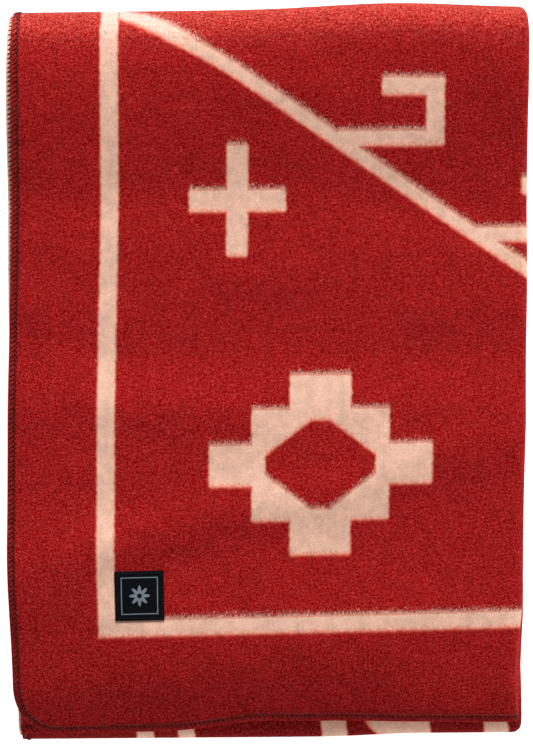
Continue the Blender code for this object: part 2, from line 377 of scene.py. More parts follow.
# Where the brushed wool stands up as strands: part of the cloth, and how many strands
NAP_AREAS = (
    dict(name="nap_open_end", across=(0.002, 0.404), along=(0.002, 0.270), strands=46000),
    dict(name="nap_fold_end", across=(0.002, 0.404), along=(0.270, 0.540), strands=46000),
    dict(name="nap_big_fold", across=(0.002, 0.410), along=(0.530, 0.610), strands=15000),
    dict(name="nap_side_fold", across=(0.396, 0.424), along=(0.004, 0.560), strands=8000),
    dict(name="nap_lower_fold", across=(0.002, 0.410), along=(1.135, 1.190), strands=9000),
)
# One strand: how even the lengths are, the usual turn off the cloth's length in radians, how deep
# the root sits, shares of the lift and the breadth, the root's depth in half breadths, the most
# grain and clump, and how near the side edge a tip may come
STRAND_EVENNESS = 6.0
STRAND_TURN = 0.75
STRAND_SINK = 0.0001
STRAND_LIFTS = (0.15, 1.0)
STRAND_BREADTHS = (0.7, 1.3)
STRAND_DEPTH = 1.4
STRAND_TONES = (1.1, 1.0)
STRAND_EDGE = 0.0005

# The stage. For each light, how far it is turned from +Y towards +X, and the angle that it fills
KEY_TURN = radians(12.0)
KEY_SOFTNESS = radians(16.0)
LOW_TURN = radians(180.0)
LOW_SOFTNESS = radians(40.0)
LOW_ELEVATION = radians(8.0)
SUN_COLOUR = (1.0, 0.985, 0.96)
SUN_DISTANCE = 3.0
FILL_COLOUR = (0.95, 0.97, 1.0, 1.0)
FLOOR_COLOUR = (0.90, 0.90, 0.90, 1.0)
FLOOR_HALF = 20.0
# The camera: its place over the stack, and the height of its sensor in millimetres
CAMERA_PLACE = (-0.0004, -0.0012)
SENSOR_HEIGHT = 24.0


class BlanketCloth(bpy.types.PropertyGroup):
    """Sizes of the cloth and of its woven border."""

    width: FloatProperty(
        name="Width", description="Cut width of the cloth", default=1.613, unit="LENGTH"
    )
    length: FloatProperty(
        name="Length", description="Cut length of the cloth", default=2.262, unit="LENGTH"
    )
    thickness: FloatProperty(
        name="Thickness", description="Thickness of the cloth", default=0.003, unit="LENGTH"
    )
    corner_radius: FloatProperty(
        name="Corner radius", description="Radius of the corners", default=0.036, unit="LENGTH"
    )
    border_inset: FloatProperty(
        name="Border inset", description="From the edge to the border", default=0.070, unit="LENGTH"
    )
    border_breadth: FloatProperty(
        name="Border breadth", description="Breadth of the border", default=0.014, unit="LENGTH"
    )
    red: FloatVectorProperty(
        name="Red", description="Red wool", subtype="COLOR", default=(0.355, 0.0088, 0.0092)
    )
    cream: FloatVectorProperty(
        name="Cream", description="Cream wool", subtype="COLOR", default=(0.84, 0.535, 0.410)
    )


class BlanketNap(bpy.types.PropertyGroup):
    """Sizes of the brushed wool."""

    reach: FloatProperty(
        name="Reach",
        description="How far the longest brushed fibres lie from their roots",
        default=0.0062,
        unit="LENGTH",
    )
    cover: FloatProperty(
        name="Cover",
        description="How far the fibres below a lower edge lie over it",
        default=0.0008,
        unit="LENGTH",
    )
    strand_length: FloatProperty(
        name="Strand length", description="Mean strand", default=0.0036, unit="LENGTH"
    )
    strand_breadth: FloatProperty(
        name="Strand breadth", description="Breadth at the root", default=0.00016, unit="LENGTH"
    )
    strand_lift: FloatProperty(
        name="Strand lift", description="How far tips stand up", default=0.0004, unit="LENGTH"
    )
    share: FloatProperty(
        name="Share", description="Share of the strands to make", default=1.0, subtype="FACTOR"
    )
    seed: IntProperty(name="Seed", description="Seed of the strands' places", default=7)


class BlanketSewing(bpy.types.PropertyGroup):
    """Sizes of the overlock thread and of the label."""

    stitch: FloatProperty(
        name="Stitch", description="Length of one overlock stitch", default=0.0037, unit="LENGTH"
    )
    thread_radius: FloatProperty(
        name="Thread radius", description="Half breadth of a stitch", default=0.00085, unit="LENGTH"
    )
    chain_radius: FloatProperty(
        name="Chain radius", description="Radius of a chain thread", default=0.00058, unit="LENGTH"
    )
    thread: FloatVectorProperty(
        name="Thread", description="Stitches", subtype="COLOR", default=(0.200, 0.0140, 0.0140)
    )
    chain: FloatVectorProperty(
        name="Chain", description="Inner chain", subtype="COLOR", default=(0.145, 0.0110, 0.0110)
    )
    label_size: FloatProperty(
        name="Label size", description="Side of the label", default=0.0383, unit="LENGTH"
    )
    label_thickness: FloatProperty(
        name="Label thickness", description="Its thickness", default=0.001, unit="LENGTH"
    )
    label_ground: FloatVectorProperty(
        name="Label ground", description="Ground", subtype="COLOR", default=(0.0030, 0.0042, 0.0062)
    )
    label_figure: FloatVectorProperty(
        name="Label figure", description="Figure", subtype="COLOR", default=(0.17, 0.21, 0.25)
    )


class BlanketStage(bpy.types.PropertyGroup):
    """Sizes and strengths of the floor, camera and lights."""

    camera_height: FloatProperty(
        name="Camera height", description="Above the floor", default=2.0, unit="LENGTH"
    )
    picture_height: FloatProperty(
        name="Picture height",
        description="What the picture's height covers at the top of the stack",
        default=0.584,
        unit="LENGTH",
    )
    key_strength: FloatProperty(
        name="Key", description="Strength of the low light from the big fold's side", default=5.5
    )
    key_elevation: FloatProperty(
        name="Key elevation",
        description="How high the low light stands",
        default=radians(22.0),
        unit="ROTATION",
    )
    low_strength: FloatProperty(
        name="Low", description="Strength of the very low light from the open end", default=1.5
    )
    fill_strength: FloatProperty(
        name="Fill", description="Strength of the light all round", default=0.19
    )
    floor_glow: FloatProperty(
        name="Floor glow", description="Light that the pale floor gives out", default=0.90
    )


def ease(value, start, end):
    """Runs from 0 at start to 1 at end as 3 s^2 - 2 s^3, where s is the share of the way."""
    share = np.clip((value - start) / (end - start), 0.0, 1.0)
    return share * share * (3.0 - 2.0 * share)


class FoldedLine:
    """A line folded in half and in half again, seen from its side.

    It runs out at level 1.5 pitches, turns down to -1.5, runs back, turns up to -0.5, runs out
    again, turns up inside the first turn to 0.5, and runs back. A run is a straight line, and a
    turn is centre + radius (cos a, sin a) with a swept through half a circle.
    """

    def __init__(self, start, end, near, far, pitch):
        wide = 1.5 * pitch
        tight = 0.5 * pitch
        runs = (
            dict(first=start, last=far, level=wide),
            dict(first=far, last=near, level=-wide),
            dict(first=near, last=far, level=-tight),
            dict(first=far, last=end, level=tight),
        )
        turns = (
            dict(at=far, level=0.0, radius=wide, angle=pi / 2, sweep=-pi, side=1),
            dict(at=near, level=-2 * tight, radius=tight, angle=-pi / 2, sweep=-pi, side=1),
            dict(at=far, level=0.0, radius=tight, angle=-pi / 2, sweep=pi, side=-1),
        )
        self.pieces = []
        reached = 0.0
        for index, run in enumerate(runs):
            length = abs(run["last"] - run["first"])
            self.pieces.append(dict(run, begin=reached, length=length))
            reached += length
            if index < len(turns):
                turn = turns[index]
                length = pi * turn["radius"]
                self.pieces.append(dict(turn, begin=reached, length=length))
                reached += length
        self.length = reached

    def stations(self, cells):
        """Places along the line where a grid line crosses it, with cells for each piece."""
        places = [[0.0]]
        for piece, count in zip(self.pieces, cells):
            places.append(piece["begin"] + piece["length"] * np.arange(1, count + 1) / count)
        return np.concatenate(places)

    def at(self, along):
        """Place, level and front-facing normal at these distances; the ends run on straight."""
        place, level, normal_place, normal_level = np.zeros((4,) + along.shape)
        begins = np.array([piece["begin"] for piece in self.pieces])
        index = np.clip(np.searchsorted(begins, along, side="right") - 1, 0, len(begins) - 1)
        for number, piece in enumerate(self.pieces):
            inside = index == number
            share = (along[inside] - piece["begin"]) / piece["length"]
            if "radius" in piece:
                angle = piece["angle"] + piece["sweep"] * share
                place[inside] = piece["at"] + piece["radius"] * np.cos(angle)
                level[inside] = piece["level"] + piece["radius"] * np.sin(angle)
                normal_place[inside] = piece["side"] * np.cos(angle)
                normal_level[inside] = piece["side"] * np.sin(angle)
            else:
                place[inside] = piece["first"] + (piece["last"] - piece["first"]) * share
                level[inside] = piece["level"]
                normal_level[inside] = np.sign(piece["last"] - piece["first"])
        return place, level, normal_place, normal_level


def width_line(cloth):
    """The cloth across the strip, its fold places worked out from the cloth's width."""
    turn_outside = 1.5 * LAYER_PITCH + cloth.thickness / 2
    tuck = 0.5 * LAYER_PITCH + cloth.thickness / 2 + FRONT_EDGE_OUTSIDE_FOLD
    turns = pi * 2.5 * LAYER_PITCH
    span = (cloth.width - turns + 2 * tuck - BACK_EDGE_OUTSIDE_FRONT) / 4
    far = (span + BACK_EDGE_OUTSIDE_FRONT - turn_outside) / 2
    start = far - span
    return FoldedLine(start, start - BACK_EDGE_OUTSIDE_FRONT, start + tuck, far, LAYER_PITCH)


def length_line(cloth):
    """The strip along the stack, its fold places worked out from the cloth's length."""
    half_strip = 1.5 * LAYER_PITCH + cloth.thickness / 2
    turns = pi * 2.5 * STRIP_PITCH
    fold_outside = 0.5 * STRIP_PITCH + half_strip
    runs = cloth.length - turns + FRONT_END_INSIDE_FOLD + SECOND_END_INSIDE_FOLD
    span = (runs - 2 * fold_outside) / 4
    far_outside = 1.5 * STRIP_PITCH + half_strip
    far = (span + fold_outside - far_outside - FOLD_BULGE) / 2
    near = far - span
    open_end = near - fold_outside
    start = open_end + FRONT_END_INSIDE_FOLD
    end = open_end + SECOND_END_INSIDE_FOLD
    return FoldedLine(start, end, near, far, STRIP_PITCH)


def round_corners(across, along, cloth):
    """Draws the square corner patches in to quarter circles: s becomes s sqrt(1 - t^2 / 2)."""
    radius = cloth.corner_radius
    from_side = np.minimum(across, cloth.width - across)
    from_end = np.minimum(along, cloth.length - along)
    s = np.clip(1.0 - from_side / radius, 0.0, 1.0)
    t = np.clip(1.0 - from_end / radius, 0.0, 1.0)
    in_patch = (s > 0.0) & (t > 0.0)
    from_side = np.where(in_patch, radius * (1.0 - s * np.sqrt(1.0 - t * t / 2.0)), from_side)
    from_end = np.where(in_patch, radius * (1.0 - t * np.sqrt(1.0 - s * s / 2.0)), from_end)
    across = np.where(across < cloth.width / 2, from_side, cloth.width - from_side)
    along = np.where(along < cloth.length / 2, from_end, cloth.length - from_end)
    return across, along


def edge_wander(across, along, cloth):
    """How far each point moves towards its side edge's own uneven line, in -X."""
    places = [row["along"] for row in EDGE_WANDER]
    front = np.interp(along, places, [row["front"] for row in EDGE_WANDER])
    back = np.interp(along, places, [row["back"] for row in EDGE_WANDER])
    near_front = 1.0 - ease(across, 0.0, EDGE_WANDER_REACH)
    near_back = 1.0 - ease(cloth.width - across, 0.0, EDGE_WANDER_REACH)
    return front * near_front + back * near_back


def fold(across, along, lift, cloth):
    """Lays points of the flat cloth in the straight-folded stack, lift off the cloth's middle.

    The width line gives x and a level in the strip, and the length line carries that level
    along its own normal: (y, z) = line(along) + level normal(along).
    """
    x, level, normal_x, normal_level = width_line(cloth).at(across)
    x = x + lift * normal_x - edge_wander(across, along, cloth)
    level = level + lift * normal_level
    y, z, normal_y, normal_z = length_line(cloth).at(along)
    middle = 1.5 * STRIP_PITCH + 1.5 * LAYER_PITCH + cloth.thickness / 2
    return np.stack([x, y + level * normal_y, middle + z + level * normal_z], axis=-1)


def crease_rise(x, y):
    """Height of the soft creases: rise exp(-(d / w)^2), d the distance from the crest's line.

    Ripples are added, each height cos(2 pi distance / length + phase) in a direction of its own.
    """
    total = np.zeros_like(x)
    for row in CREASES:
        nearest = np.full_like(x, np.inf)
        places = np.array(row["crest"])
        for start, end in zip(places, places[1:]):
            run = end - start
            share = ((x - start[0]) * run[0] + (y - start[1]) * run[1]) / (run @ run)
            share = np.clip(share, 0.0, 1.0)
            off_x = x - start[0] - share * run[0]
            off_y = y - start[1] - share * run[1]
            nearest = np.minimum(nearest, off_x**2 + off_y**2)
        total += row["rise"] * np.exp(-nearest / row["half_width"] ** 2)
    rng = np.random.default_rng(RIPPLE_SEED)
    for _ in range(RIPPLE_COUNT):
        angle, phase = rng.uniform(0.0, 2 * pi, 2)
        length = rng.uniform(*RIPPLE_LENGTHS)
        distance = x * np.cos(angle) + y * np.sin(angle)
        total += RIPPLE * np.cos(2 * pi * distance / length + phase)
    return total


def settle(points):
    """Moves the straight-folded stack's points to where the soft stack comes to lie.

    x leans and narrows with y, y is skewed and stepped with x, and z is scaled by a height that
    steps and droops with both, so the base stays flat. Creases fade in above the upper strip.
    """
    x, y, z = np.moveaxis(points, -1, 0)
    upper = ease(z, *UPPER_STRIPS_RUN)
    lean_upper = UPPER_LEAN * ease(y, *UPPER_LEAN_RUN)
    lean_lower = LOWER_LEAN * ease(y, *LOWER_RUN)
    narrow_upper = UPPER_NARROWING * ease(y, *UPPER_NARROWING_RUN)
    narrow_lower = LOWER_NARROWING * ease(y, *LOWER_RUN)
    lean = lean_lower + (lean_upper - lean_lower) * upper
    narrow = narrow_lower + (narrow_upper - narrow_lower) * upper
    places = [row["y"] for row in SIDE_FOLD_WANDER]
    out = np.interp(y, places, [row["out"] for row in SIDE_FOLD_WANDER])
    x = x * (1.0 - narrow) + lean + out * ease(x, *SIDE_FOLD_RUN)

    skew = SKEW + FACE_SKEW * upper * ease(y, *FACE_SKEW_RUN)
    step = END_STEP_LEFT + (END_STEP_RIGHT - END_STEP_LEFT) * ease(x, *END_STEP_RUN)
    step = step + END_SLOPE_RIGHT * np.clip(x, 0.0, None)
    lower_step = LOWER_END_LEFT * ease(x, *LOWER_END_RUN) * (1.0 - upper)
    bulge = FOLD_BULGE * np.exp(-(((x - FOLD_BULGE_X) / FOLD_BULGE_HALF_WIDTH) ** 2))
    step = step * upper + lower_step
    y = y + skew * x + step * ease(y, *END_RUN) + bulge * ease(y, *FOLD_BULGE_RUN)

    height = 1.0
    for row in HEIGHT_STEPS:
        height = height + row["change"] * ease(y - row["lean"] * x, row["start"], row["end"])
    for row in HEIGHT_DROOPS:
        place, other = (x, y) if row["axis"] == 0 else (y, x)
        reach = np.clip((place - row["lean"] * other - row["start"]) / row["run"], 0.0, None)
        height = height - row["share"] * reach * reach
    z = z * height + crease_rise(x, y) * ease(z, *CREASES_RUN)
    return np.stack([x, y, z], axis=-1)


def cloth_point(across, along, lift, cloth):
    """Where a point of the flat cloth lies in the settled stack."""
    return settle(fold(across, along, lift, cloth))


def new_mesh(name, points, faces, material):
    """A mesh object from an array of points and an array of triangles or quads."""
    mesh = bpy.data.meshes.new(name)
    mesh.vertices.add(len(points))
    mesh.vertices.foreach_set("co", points.astype(np.float32).ravel())
    mesh.loops.add(faces.size)
    mesh.loops.foreach_set("vertex_index", faces.astype(np.int32).ravel())
    mesh.polygons.add(len(faces))
    loop_starts = np.arange(0, faces.size, faces.shape[1], dtype=np.int32)
    mesh.polygons.foreach_set("loop_start", loop_starts)
    mesh.materials.append(material)
    mesh.update(calc_edges=True)
    mesh.validate()
    mesh.shade_smooth()
    thing = bpy.data.objects.new(name, mesh)
    bpy.context.scene.collection.objects.link(thing)
    return thing


def add_vector(thing, name, values):
    """Stores a vector for each point under this name, for the materials to read."""
    layer = thing.data.attributes.new(name, "FLOAT_VECTOR", "POINT")
    layer.data.foreach_set("vector", values.astype(np.float32).ravel())


def add_map(thing, name, places):
    """Stores a UV map from a place for each point of the mesh."""
    layer = thing.data.uv_layers.new(name=name)
    index = np.empty(len(thing.data.loops), dtype=np.int32)
    thing.data.loops.foreach_get("vertex_index", index)
    layer.uv.foreach_set("vector", places[index].astype(np.float32).ravel())


def map_place(across, along):
    """The colour map's place of a point of the face: straight between a few fixed places."""
    u = np.interp(across, *zip(*MAP_ACROSS))
    v = np.interp(along, *zip(*MAP_ALONG))
    return u, v


def grid_faces(rows, columns):
    """Quads of a grid whose points are numbered along its rows."""
    corner = np.arange(rows - 1)[:, None] * columns + np.arange(columns - 1)
    quads = np.stack([corner, corner + 1, corner + columns + 1, corner + columns], axis=-1)
    return quads.reshape(-1, 4)


def rim_order(rows, columns):
    """Numbers of a grid's outer points, once round anticlockwise."""
    numbers = np.arange(rows * columns).reshape(rows, columns)
    return np.concatenate(
        [numbers[0, :-1], numbers[:-1, -1], numbers[-1, :0:-1], numbers[:0:-1, 0]]
    )


def closed_sheet(name, grids, rims, material):
    """Closes an upper and a lower grid of points with rows of rim points between their edges."""
    rows, columns = grids[0].shape[:2]
    count = rows * columns
    edge = rim_order(rows, columns)
    faces = [grid_faces(rows, columns), grid_faces(rows, columns)[:, ::-1] + count]
    rings = [edge] + [2 * count + len(edge) * k + np.arange(len(edge)) for k in range(len(rims))]
    rings.append(edge + count)
    for upper, lower in zip(rings, rings[1:]):
        faces.append(np.stack([upper, lower, np.roll(lower, -1), np.roll(upper, -1)], axis=-1))
    points = np.concatenate([grid.reshape(-1, 3) for grid in grids] + list(rims))
    return new_mesh(name, points, np.concatenate(faces), material)


class Nodes:
    """Short ways to add and join the nodes of one tree."""

    def __init__(self, tree):
        self.tree = tree

    def add(self, kind, values=(), **settings):
        """Adds a node, sets it up, and joins or sets its inputs, by number or by name."""
        node = self.tree.nodes.new(kind)
        for name, value in settings.items():
            setattr(node, name, value)
        for key, value in dict(values).items():
            self.join(value, node.inputs[key])
        return node

    def join(self, value, socket):
        """Joins another node's output to a socket, or sets the socket to a value."""
        if isinstance(value, bpy.types.NodeSocket):
            self.tree.links.new(value, socket)
        else:
            socket.default_value = value

    def math(self, operation, *values, clamp=False):
        """One step of arithmetic on numbers."""
        node = self.add("ShaderNodeMath", enumerate(values), operation=operation, use_clamp=clamp)
        return node.outputs[0]

    def less(self, first, second, clamp=False):
        """The first number less the second."""
        return self.math("SUBTRACT", first, second, clamp=clamp)

    def times(self, first, second):
        """The product of two numbers."""
        return self.math("MULTIPLY", first, second)

    def smallest(self, *values):
        """The smallest of several numbers."""
        least = values[0]
        for value in values[1:]:
            least = self.math("MINIMUM", least, value)
        return least

    def largest(self, *values):
        """The largest of several numbers."""
        most = values[0]
        for value in values[1:]:
            most = self.math("MAXIMUM", most, value)
        return most

    def vector(self, operation, *values):
        """One step of arithmetic on vectors."""
        node = self.add("ShaderNodeVectorMath", enumerate(values), operation=operation)
        return node.outputs["Value" if operation == "LENGTH" else "Vector"]

    def combined(self, x, y):
        """A vector with these first two parts and nothing for the third."""
        return self.add("ShaderNodeCombineXYZ", {0: x, 1: y}).outputs[0]

    def parts(self, vector):
        """The three parts of a vector."""
        return self.add("ShaderNodeSeparateXYZ", {0: vector}).outputs

    def attribute(self, name):
        """A vector that the mesh stores under this name."""
        return self.add("ShaderNodeAttribute", attribute_name=name).outputs["Vector"]

    def remap(self, value, low, high, first=0.0, last=1.0, smooth=False):
        """A number carried from low..high to first..last, held at both ends."""
        node = self.add(
            "ShaderNodeMapRange",
            {"Value": value, "From Min": low, "From Max": high, "To Min": first, "To Max": last},
            interpolation_type="SMOOTHSTEP" if smooth else "LINEAR",
        )
        return node.outputs["Result"]

    def mix(self, share, first, last, blend="MIX"):
        """Two colours mixed by a share."""
        node = self.add("ShaderNodeMix", data_type="RGBA", blend_type=blend)
        self.join(share, node.inputs["Factor"])
        self.join(first, node.inputs["A"])
        self.join(last, node.inputs["B"])
        return node.outputs["Result"]

    def lit(self, colour, light):
        """A colour made lighter or darker by a factor."""
        grey = self.add("ShaderNodeCombineColor", {0: light, 1: light, 2: light}).outputs[0]
        return self.mix(1.0, colour, grey, "MULTIPLY")

    def group(self, name, values):
        """A copy of a node group, with its inputs joined or set."""
        node = self.add("ShaderNodeGroup", node_tree=bpy.data.node_groups[name])
        for key, value in values.items():
            self.join(value, node.inputs[key])
        return node


def new_group(name, inputs, outputs):
    """An empty shader node group with these sockets; returns its nodes, its inputs and its end."""
    tree = bpy.data.node_groups.new(name, "ShaderNodeTree")
    for kind, sockets in (("INPUT", inputs), ("OUTPUT", outputs)):
        for title, value in sockets:
            size = len(value) if isinstance(value, tuple) else 1
            socket_type = {1: "NodeSocketFloat", 3: "NodeSocketVector", 4: "NodeSocketColor"}[size]
            socket = tree.interface.new_socket(name=title, in_out=kind, socket_type=socket_type)
            if kind == "INPUT":
                socket.default_value = value
    nodes = Nodes(tree)
    start = nodes.add("NodeGroupInput")
    end = nodes.add("NodeGroupOutput")
    return nodes, start.outputs, end.inputs


def make_bar_group():
    """Distance to a bar with rounded corners: |max(|p - centre| - half + corner, 0)| - corner."""
    nothing = (0.0, 0.0, 0.0)
    nodes, given, result = new_group(
        "Bar distance",
        (("Point", nothing), ("Centre", nothing), ("Half size", nothing)),
        (("Distance", 0.0),),
    )
    away = nodes.vector("ABSOLUTE", nodes.vector("SUBTRACT", given[0], given[1]))
    past = nodes.vector("SUBTRACT", away, given[2])
    rounded = nodes.vector("ADD", past, (BAR_CORNER, BAR_CORNER, 0.0))
    length = nodes.vector("LENGTH", nodes.vector("MAXIMUM", rounded, nothing))
    nodes.join(nodes.less(length, BAR_CORNER), result[0])


def bar_distances(nodes, point, bars):
    """Distances from a point to each bar of a table."""
    found = []
    for bar in bars:
        centre, half = (*bar["centre"], 0.0), (*bar["half"], 0.0)
        values = {"Point": point, "Centre": centre, "Half size": half}
        found.append(nodes.group("Bar distance", values).outputs[0])
    return found


def slope_distances(nodes, side, quarter, inner):
    """The long diagonal: |along - (start - slope across)| cos(slope) - half breadth, and hooks.

    Near the border it bends down by bend (1 - across / reach)^2.
    """
    steepness = 1.0 / np.sqrt(1.0 + SLOPE * SLOPE)
    off_border = nodes.less(side, inner)
    left = nodes.remap(off_border, 0.0, SLOPE_BEND_REACH, 1.0, 0.0)
    bend = nodes.times(nodes.times(left, left), SLOPE_BEND)
    run = nodes.math("ADD", nodes.times(off_border, SLOPE), bend)
    off = nodes.less(nodes.math("ADD", quarter, run), SLOPE_START_ALONG)
    off = nodes.times(nodes.math("ABSOLUTE", off), steepness)
    line = nodes.largest(nodes.less(off, SLOPE_HALF_BREADTH), nodes.less(inner, side))

    number = nodes.math("DIVIDE", nodes.less(side, HOOK_START), HOOK_STEP)
    number = nodes.smallest(nodes.math("FLOOR", number), HOOK_COUNT - 1.0)
    number = nodes.largest(number, 0.0)
    hook_side = nodes.less(side, nodes.times(number, HOOK_STEP))
    hook_along = nodes.math("ADD", quarter, nodes.times(number, HOOK_STEP * SLOPE))
    return [line] + bar_distances(nodes, nodes.combined(hook_side, hook_along), HOOK_BARS)


def diamond_distance(nodes, point, centre):
    """The stepped diamond: three bars about one centre, less a lozenge |x|/a + |y|/b < 1.

    The lozenge's points are clipped at a fixed |x| and |y|, and its steepness turns the share
    into metres.
    """
    bars = [dict(centre=centre, half=row["half"]) for row in DIAMOND_STEPS]
    solid = nodes.smallest(*bar_distances(nodes, point, bars))
    away = nodes.vector("ABSOLUTE", nodes.vector("SUBTRACT", point, (*centre, 0.0)))
    x, y = nodes.parts(away)[:2]
    share_x = nodes.math("DIVIDE", x, LOZENGE_REACH[0])
    share_y = nodes.math("DIVIDE", y, LOZENGE_REACH[1])
    slant = nodes.less(nodes.math("ADD", share_x, share_y), 1.0)
    lozenge = nodes.largest(
        nodes.times(slant, LOZENGE_STEEPNESS),
        nodes.less(x, LOZENGE_CLIP[0]),
        nodes.less(y, LOZENGE_CLIP[1]),
    )
    return nodes.largest(solid, nodes.times(lozenge, -1.0))


def middle_distances(nodes, side, from_middle):
    """Bars near the middle of the length, and a flag whose left side leans."""
    point = nodes.combined(side, from_middle)
    lean = nodes.times(from_middle, FLAG_LEAN)
    flag = nodes.largest(
        nodes.less(nodes.less(FLAG_MIDDLE_LEFT, lean), side),
        nodes.less(side, FLAG_RIGHT),
        nodes.less(from_middle, FLAG_HALF),
    )
    return bar_distances(nodes, point, MIDDLE_BARS) + [flag]


def make_motif_group(cloth):
    """The woven pattern: the least distance to any bar, turned to 1 inside and 0 outside.

    The four quarters of the cloth mirror each other. Within a quarter the big diamond's sides
    and what lies beside them mirror again about the quarter's own middle line.
    """
    nodes, given, result = new_group(
        "Woven motifs", (("Flat", (0.0, 0.0, 0.0)), ("Softness", 0.0012)), (("Motif", 0.0),)
    )
    across, along = nodes.parts(given[0])[:2]
    side = nodes.smallest(across, nodes.less(cloth.width, across))
    end = nodes.smallest(along, nodes.less(cloth.length, along))
    from_middle = nodes.less(cloth.length / 2, end)
    off_quarter = nodes.math("ABSOLUTE", nodes.less(end, cloth.length / 4))
    quarter = nodes.less(cloth.length / 4, off_quarter)

    inset, inner = cloth.border_inset, cloth.border_inset + cloth.border_breadth
    half = cloth.border_breadth / 2
    centre = inset + half
    off_long_bar = nodes.math("ABSOLUTE", nodes.less(side, centre))
    off_end_bar = nodes.math("ABSOLUTE", nodes.less(end, centre))
    long_bar = nodes.largest(
        nodes.less(off_long_bar, half),
        nodes.less(inset, end),
        nodes.less(MIDDLE_BAND, from_middle),
    )
    end_bar = nodes.largest(nodes.less(off_end_bar, half), nodes.less(inset, side))

    point = nodes.combined(side, quarter)
    distances = [
        long_bar,
        end_bar,
        *bar_distances(nodes, point, CROSS_BARS),
        diamond_distance(nodes, point, DIAMOND_CENTRE),
        diamond_distance(nodes, point, (cloth.width / 2, cloth.length / 4)),
        *slope_distances(nodes, side, quarter, inner),
        *middle_distances(nodes, side, from_middle),
    ]
    softness = given[1]
    least = nodes.smallest(*distances)
    motif = nodes.remap(least, softness, nodes.times(softness, -1.0), smooth=True)
    nodes.join(motif, result[0])


def noise(nodes, point, scale, stretch, detail=2.0, offset=0.0):
    """Noise with its own scale across and along the cloth."""
    where = nodes.add(
        "ShaderNodeMapping", {"Vector": point, "Location": (offset,) * 3, "Scale": (*stretch, 1.0)}
    )
    found = nodes.add(
        "ShaderNodeTexNoise",
        {"Vector": where.outputs[0], "Scale": scale, "Detail": detail},
        noise_dimensions="2D",
    )
    return found.outputs[0]


def back_along(nodes, flat, sideways, back):
    """The flat point moved sideways, and back along the cloth."""
    return nodes.vector("SUBTRACT", flat, nodes.combined(sideways, back))


def crossed_fibres(nodes, point, turn, offset):
    """Noise of fine fibres that all lie one way, turned from the cloth's length by this angle."""
    where = nodes.add(
        "ShaderNodeMapping",
        {
            "Vector": point,
            "Location": (offset,) * 3,
            "Rotation": (0.0, 0.0, turn),
            "Scale": FIBRE_STRETCH,
        },
        vector_type="TEXTURE",
    )
    found = nodes.add(
        "ShaderNodeTexNoise",
        {"Vector": where.outputs[0], "Scale": FIBRE_SCALE, "Detail": 2.0},
        noise_dimensions="2D",
    )
    return found.outputs[0]


def make_brush_group():
    """Brushed fibres: where a long hair and a short one seen at a point have their roots.

    A long hair's root lies back along the cloth by reach r^1.6, r a streaky noise about 8 times
    longer along the cloth than across it, and a short one's by a wavering share of the reach.
    Own is the point itself, drawn about a little by the brushing. Grain is the larger of two
    sets of fibres that cross, clumps are a coarse noise, and relief adds both to a curl.
    """
    nothing = (0.0, 0.0, 0.0)
    nodes, given, result = new_group(
        "Brushed wool",
        (("Flat", nothing), ("Reach", 0.0062)),
        (
            ("Own", nothing),
            ("Long hair", nothing),
            ("Short hair", nothing),
            ("Grain", 0.0),
            ("Clump", 0.0),
            ("Relief", 0.0),
        ),
    )
    flat, reach = given[0], given[1]
    drift = nodes.add(
        "ShaderNodeTexNoise",
        {"Vector": flat, "Scale": DRIFT_SCALE, "Detail": 3.0},
        noise_dimensions="2D",
    )
    drift = nodes.vector("SUBTRACT", drift.outputs["Color"], (0.5, 0.5, 0.5))
    own = nodes.vector("ADD", flat, nodes.vector("MULTIPLY", drift, (DRIFT, DRIFT, 0.0)))
    bend = nodes.less(noise(nodes, flat, **BEND_NOISE), 0.5)
    bent = back_along(nodes, flat, nodes.times(bend, BEND), 0.0)
    hair = nodes.remap(noise(nodes, bent, **HAIR_NOISE), *HAIR_RANGE)
    long_back = nodes.times(nodes.math("POWER", hair, HAIR_POWER), reach)
    waver = nodes.remap(noise(nodes, flat, **WAVER_NOISE), *WAVER_RANGE, *WAVER_REACH)

    fibres = [crossed_fibres(nodes, bent, *row) for row in FIBRE_TURNS]
    grain = nodes.largest(*fibres)
    curl = noise(nodes, flat, **CURL_NOISE)
    clump = noise(nodes, flat, **CLUMP_NOISE)
    heights = [nodes.times(*pair) for pair in zip((grain, curl, clump), RELIEF_SHARES)]
    found = (
        own,
        back_along(nodes, own, 0.0, long_back),
        back_along(nodes, own, 0.0, nodes.times(waver, reach)),
        nodes.remap(grain, *GRAIN_RANGE),
        nodes.remap(clump, *CLUMP_RANGE),
        nodes.math("ADD", nodes.math("ADD", heights[0], heights[1]), heights[2]),
    )
    for value, socket in zip(found, result):
        nodes.join(value, socket)


def cream_share(nodes, point):
    """How far a point of the cloth is cream: |motif - side|, as the reverse swaps the colours."""
    side = nodes.parts(point)[2]
    motif = nodes.group("Woven motifs", {"Flat": point}).outputs[0]
    return nodes.math("ABSOLUTE", nodes.less(motif, side))


def fibre_tones(nodes, colour, factors, grain):
    """A colour that runs from a dark to a light fibre by the grain."""
    dark, light = [nodes.mix(1.0, colour, factor, "MULTIPLY") for factor in factors]
    return nodes.mix(grain, dark, light)


